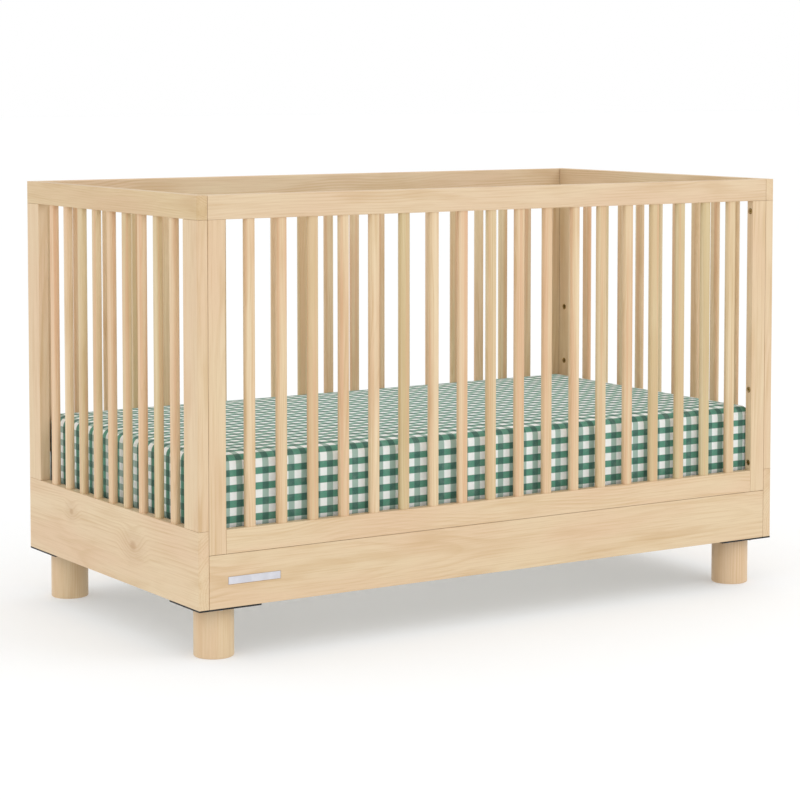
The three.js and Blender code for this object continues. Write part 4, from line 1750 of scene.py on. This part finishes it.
    def corner_stitches(
        self, surface: np.ndarray, facts: dict[str, np.ndarray], thread: bpy.types.Material
    ) -> bpy.types.Object:
        """Sews the cloth's four corners.

        Args:
            surface: The outside of the sheet.
            facts: What shape() says of every point.
            thread: The stitches.

        Returns:
            The stitches of all four corners.
        """
        diagonal = np.abs(facts["bearing"] - math.pi / 4) < TINY
        seam = facts["in_corner"] & diagonal & (facts["inset"] < SPECK)
        recipe = StitchRow(thread)
        rows = []
        for sx in (-1, 1):
            for sy in (-1, 1):
                chosen = seam & (facts["sign"][:, 0] == sx) & (facts["sign"][:, 1] == sy)
                line = surface[chosen]
                line = line[np.argsort(-line[:, 2])]
                edges = [(i, i + 1) for i in range(len(line) - 1)]
                rows.append(recipe.run(plain_mesh("seam", line.tolist(), edges=edges)))
        piece = place("sheet_stitches", joined(rows))
        return finished(piece, None, "mattress")


# ---- Studio --------------------------------------------------------------------------------


@dataclass
class StudioSet:
    """Pale floor, soft light and the camera."""

    camera_place: tuple[float, float, float] = (-2.7541, -4.2714, 1.0686)
    yaw: float = 32.71
    pitch: float = -3.74
    lens: float = 109.79
    shift: float = -0.2011
    floor: float = 60.0
    sky: float = 1.0
    key_power: float = 36.0
    key_place: tuple[float, float, float] = (2.6, -3.9, 3.4)
    light_size: float = 2.6
    daylight: tuple[float, float, float] = (0.96, 0.99, 1.08)
    fill_power: float = 12.0
    fill_place: tuple[float, float, float] = (-4.2, -1.2, 2.6)
    aim: tuple[float, float, float] = (0.0, 0.0, 0.4)

    def light(self, name: str, spot: tuple[float, float, float], power: float) -> None:
        """Adds a soft square light aimed at the crib.

        Args:
            name: Its name.
            spot: Where it hangs.
            power: Its power in watts.
        """
        data = bpy.data.lights.new(name, "AREA")
        data.energy, data.size, data.shape = power, self.light_size, "SQUARE"
        data.color = self.daylight
        lamp = bpy.data.objects.new(name, data)
        lamp.location = spot
        aim = Vector(self.aim) - Vector(spot)
        lamp.rotation_mode = "QUATERNION"
        lamp.rotation_quaternion = aim.to_track_quat("-Z", "Y")
        bpy.context.scene.collection.objects.link(lamp)

    def build(self) -> None:
        """Makes the floor, the lights and the camera."""
        scene = bpy.context.scene
        scene.view_settings.view_transform = "Standard"
        mesh = bmesh.new()
        bmesh.ops.create_grid(mesh, x_segments=2, y_segments=2, size=self.floor)
        data = baked("floor", mesh)
        data.materials.append(Studio("floor").material())
        place("floor", data)
        scene.world = bpy.data.worlds.new("studio")
        scene.world.use_nodes = True
        sky = scene.world.node_tree.nodes["Background"]
        sky.inputs["Color"].default_value = colour("ffffff")
        sky.inputs["Strength"].default_value = self.sky
        self.light("key", self.key_place, self.key_power)
        self.light("fill", self.fill_place, self.fill_power)
        data = bpy.data.cameras.new("camera")
        data.lens, data.shift_y = self.lens, self.shift
        camera = bpy.data.objects.new("camera", data)
        camera.location = self.camera_place
        camera.rotation_euler = (math.radians(90 + self.pitch), 0, math.radians(-self.yaw))
        scene.collection.objects.link(camera)
        scene.camera = camera


# ---- The crib ------------------------------------------------------------------------------


def dress(names: Iterable[str], material: bpy.types.Material) -> None:
    """Gives CAD nodes that stay a better finish.

    Args:
        names: The nodes.
        material: Their finish.
    """
    for name in names:
        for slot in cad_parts[name].material_slots:
            slot.link = "OBJECT"
            slot.material = material


def main() -> None:
    """Builds the crib's looks and the studio."""
    logging.basicConfig(level=logging.INFO, format="%(message)s")
    finishes = {
        "zinc": Metal("zinc_plate"),
        "brass": Metal("yellow_zinc", "a58a55", "c7ad78", roughness=0.4),
        "black": Metal("black_steel", "1b1b1d", "2b2b2d", 0.4, 0.5),
        "label": Metal("label_silver", "cdcdd4", "dfdfe5", 0.35, 0.38, brushed_along_x=True),
        "steel": Metal("support_paint", "c4c5c4", "d5d6d5", 0.5, 0.42),
    }
    metals = {name: finish.material() for name, finish in finishes.items()}
    StudioSet().build()
    for end, name in ENDS.items():
        EndPanel(name, end, seed=5 + end).build()
    for side, name in SIDES.items():
        LongSide(name, side, seed=20 + side).build()
    corners = [(end, side) for end in ENDS for side in SIDES]
    for end, side in corners:
        Leg(end, side).build()
    Fittings().build(metals)
    tags = [f"{SIDES[side]}_{ENDS[end]}" for end, side in corners]
    dress([f"{tag}_leg_plate" for tag in tags], metals["black"])
    dress([f"{tag}_leg_bolt" for tag in tags], metals["zinc"])
    dress([f"{tag}_support_bracket" for tag in tags] + ["support_frame"], metals["steel"])
    SpringDeck().build(metals["steel"])
    ticking, gingham = Ticking("ticking").material(), Gingham("gingham").material()
    Mattress().build(ticking, gingham, Thread("sewing_thread").material())


if __name__ == "__main__":
    main()
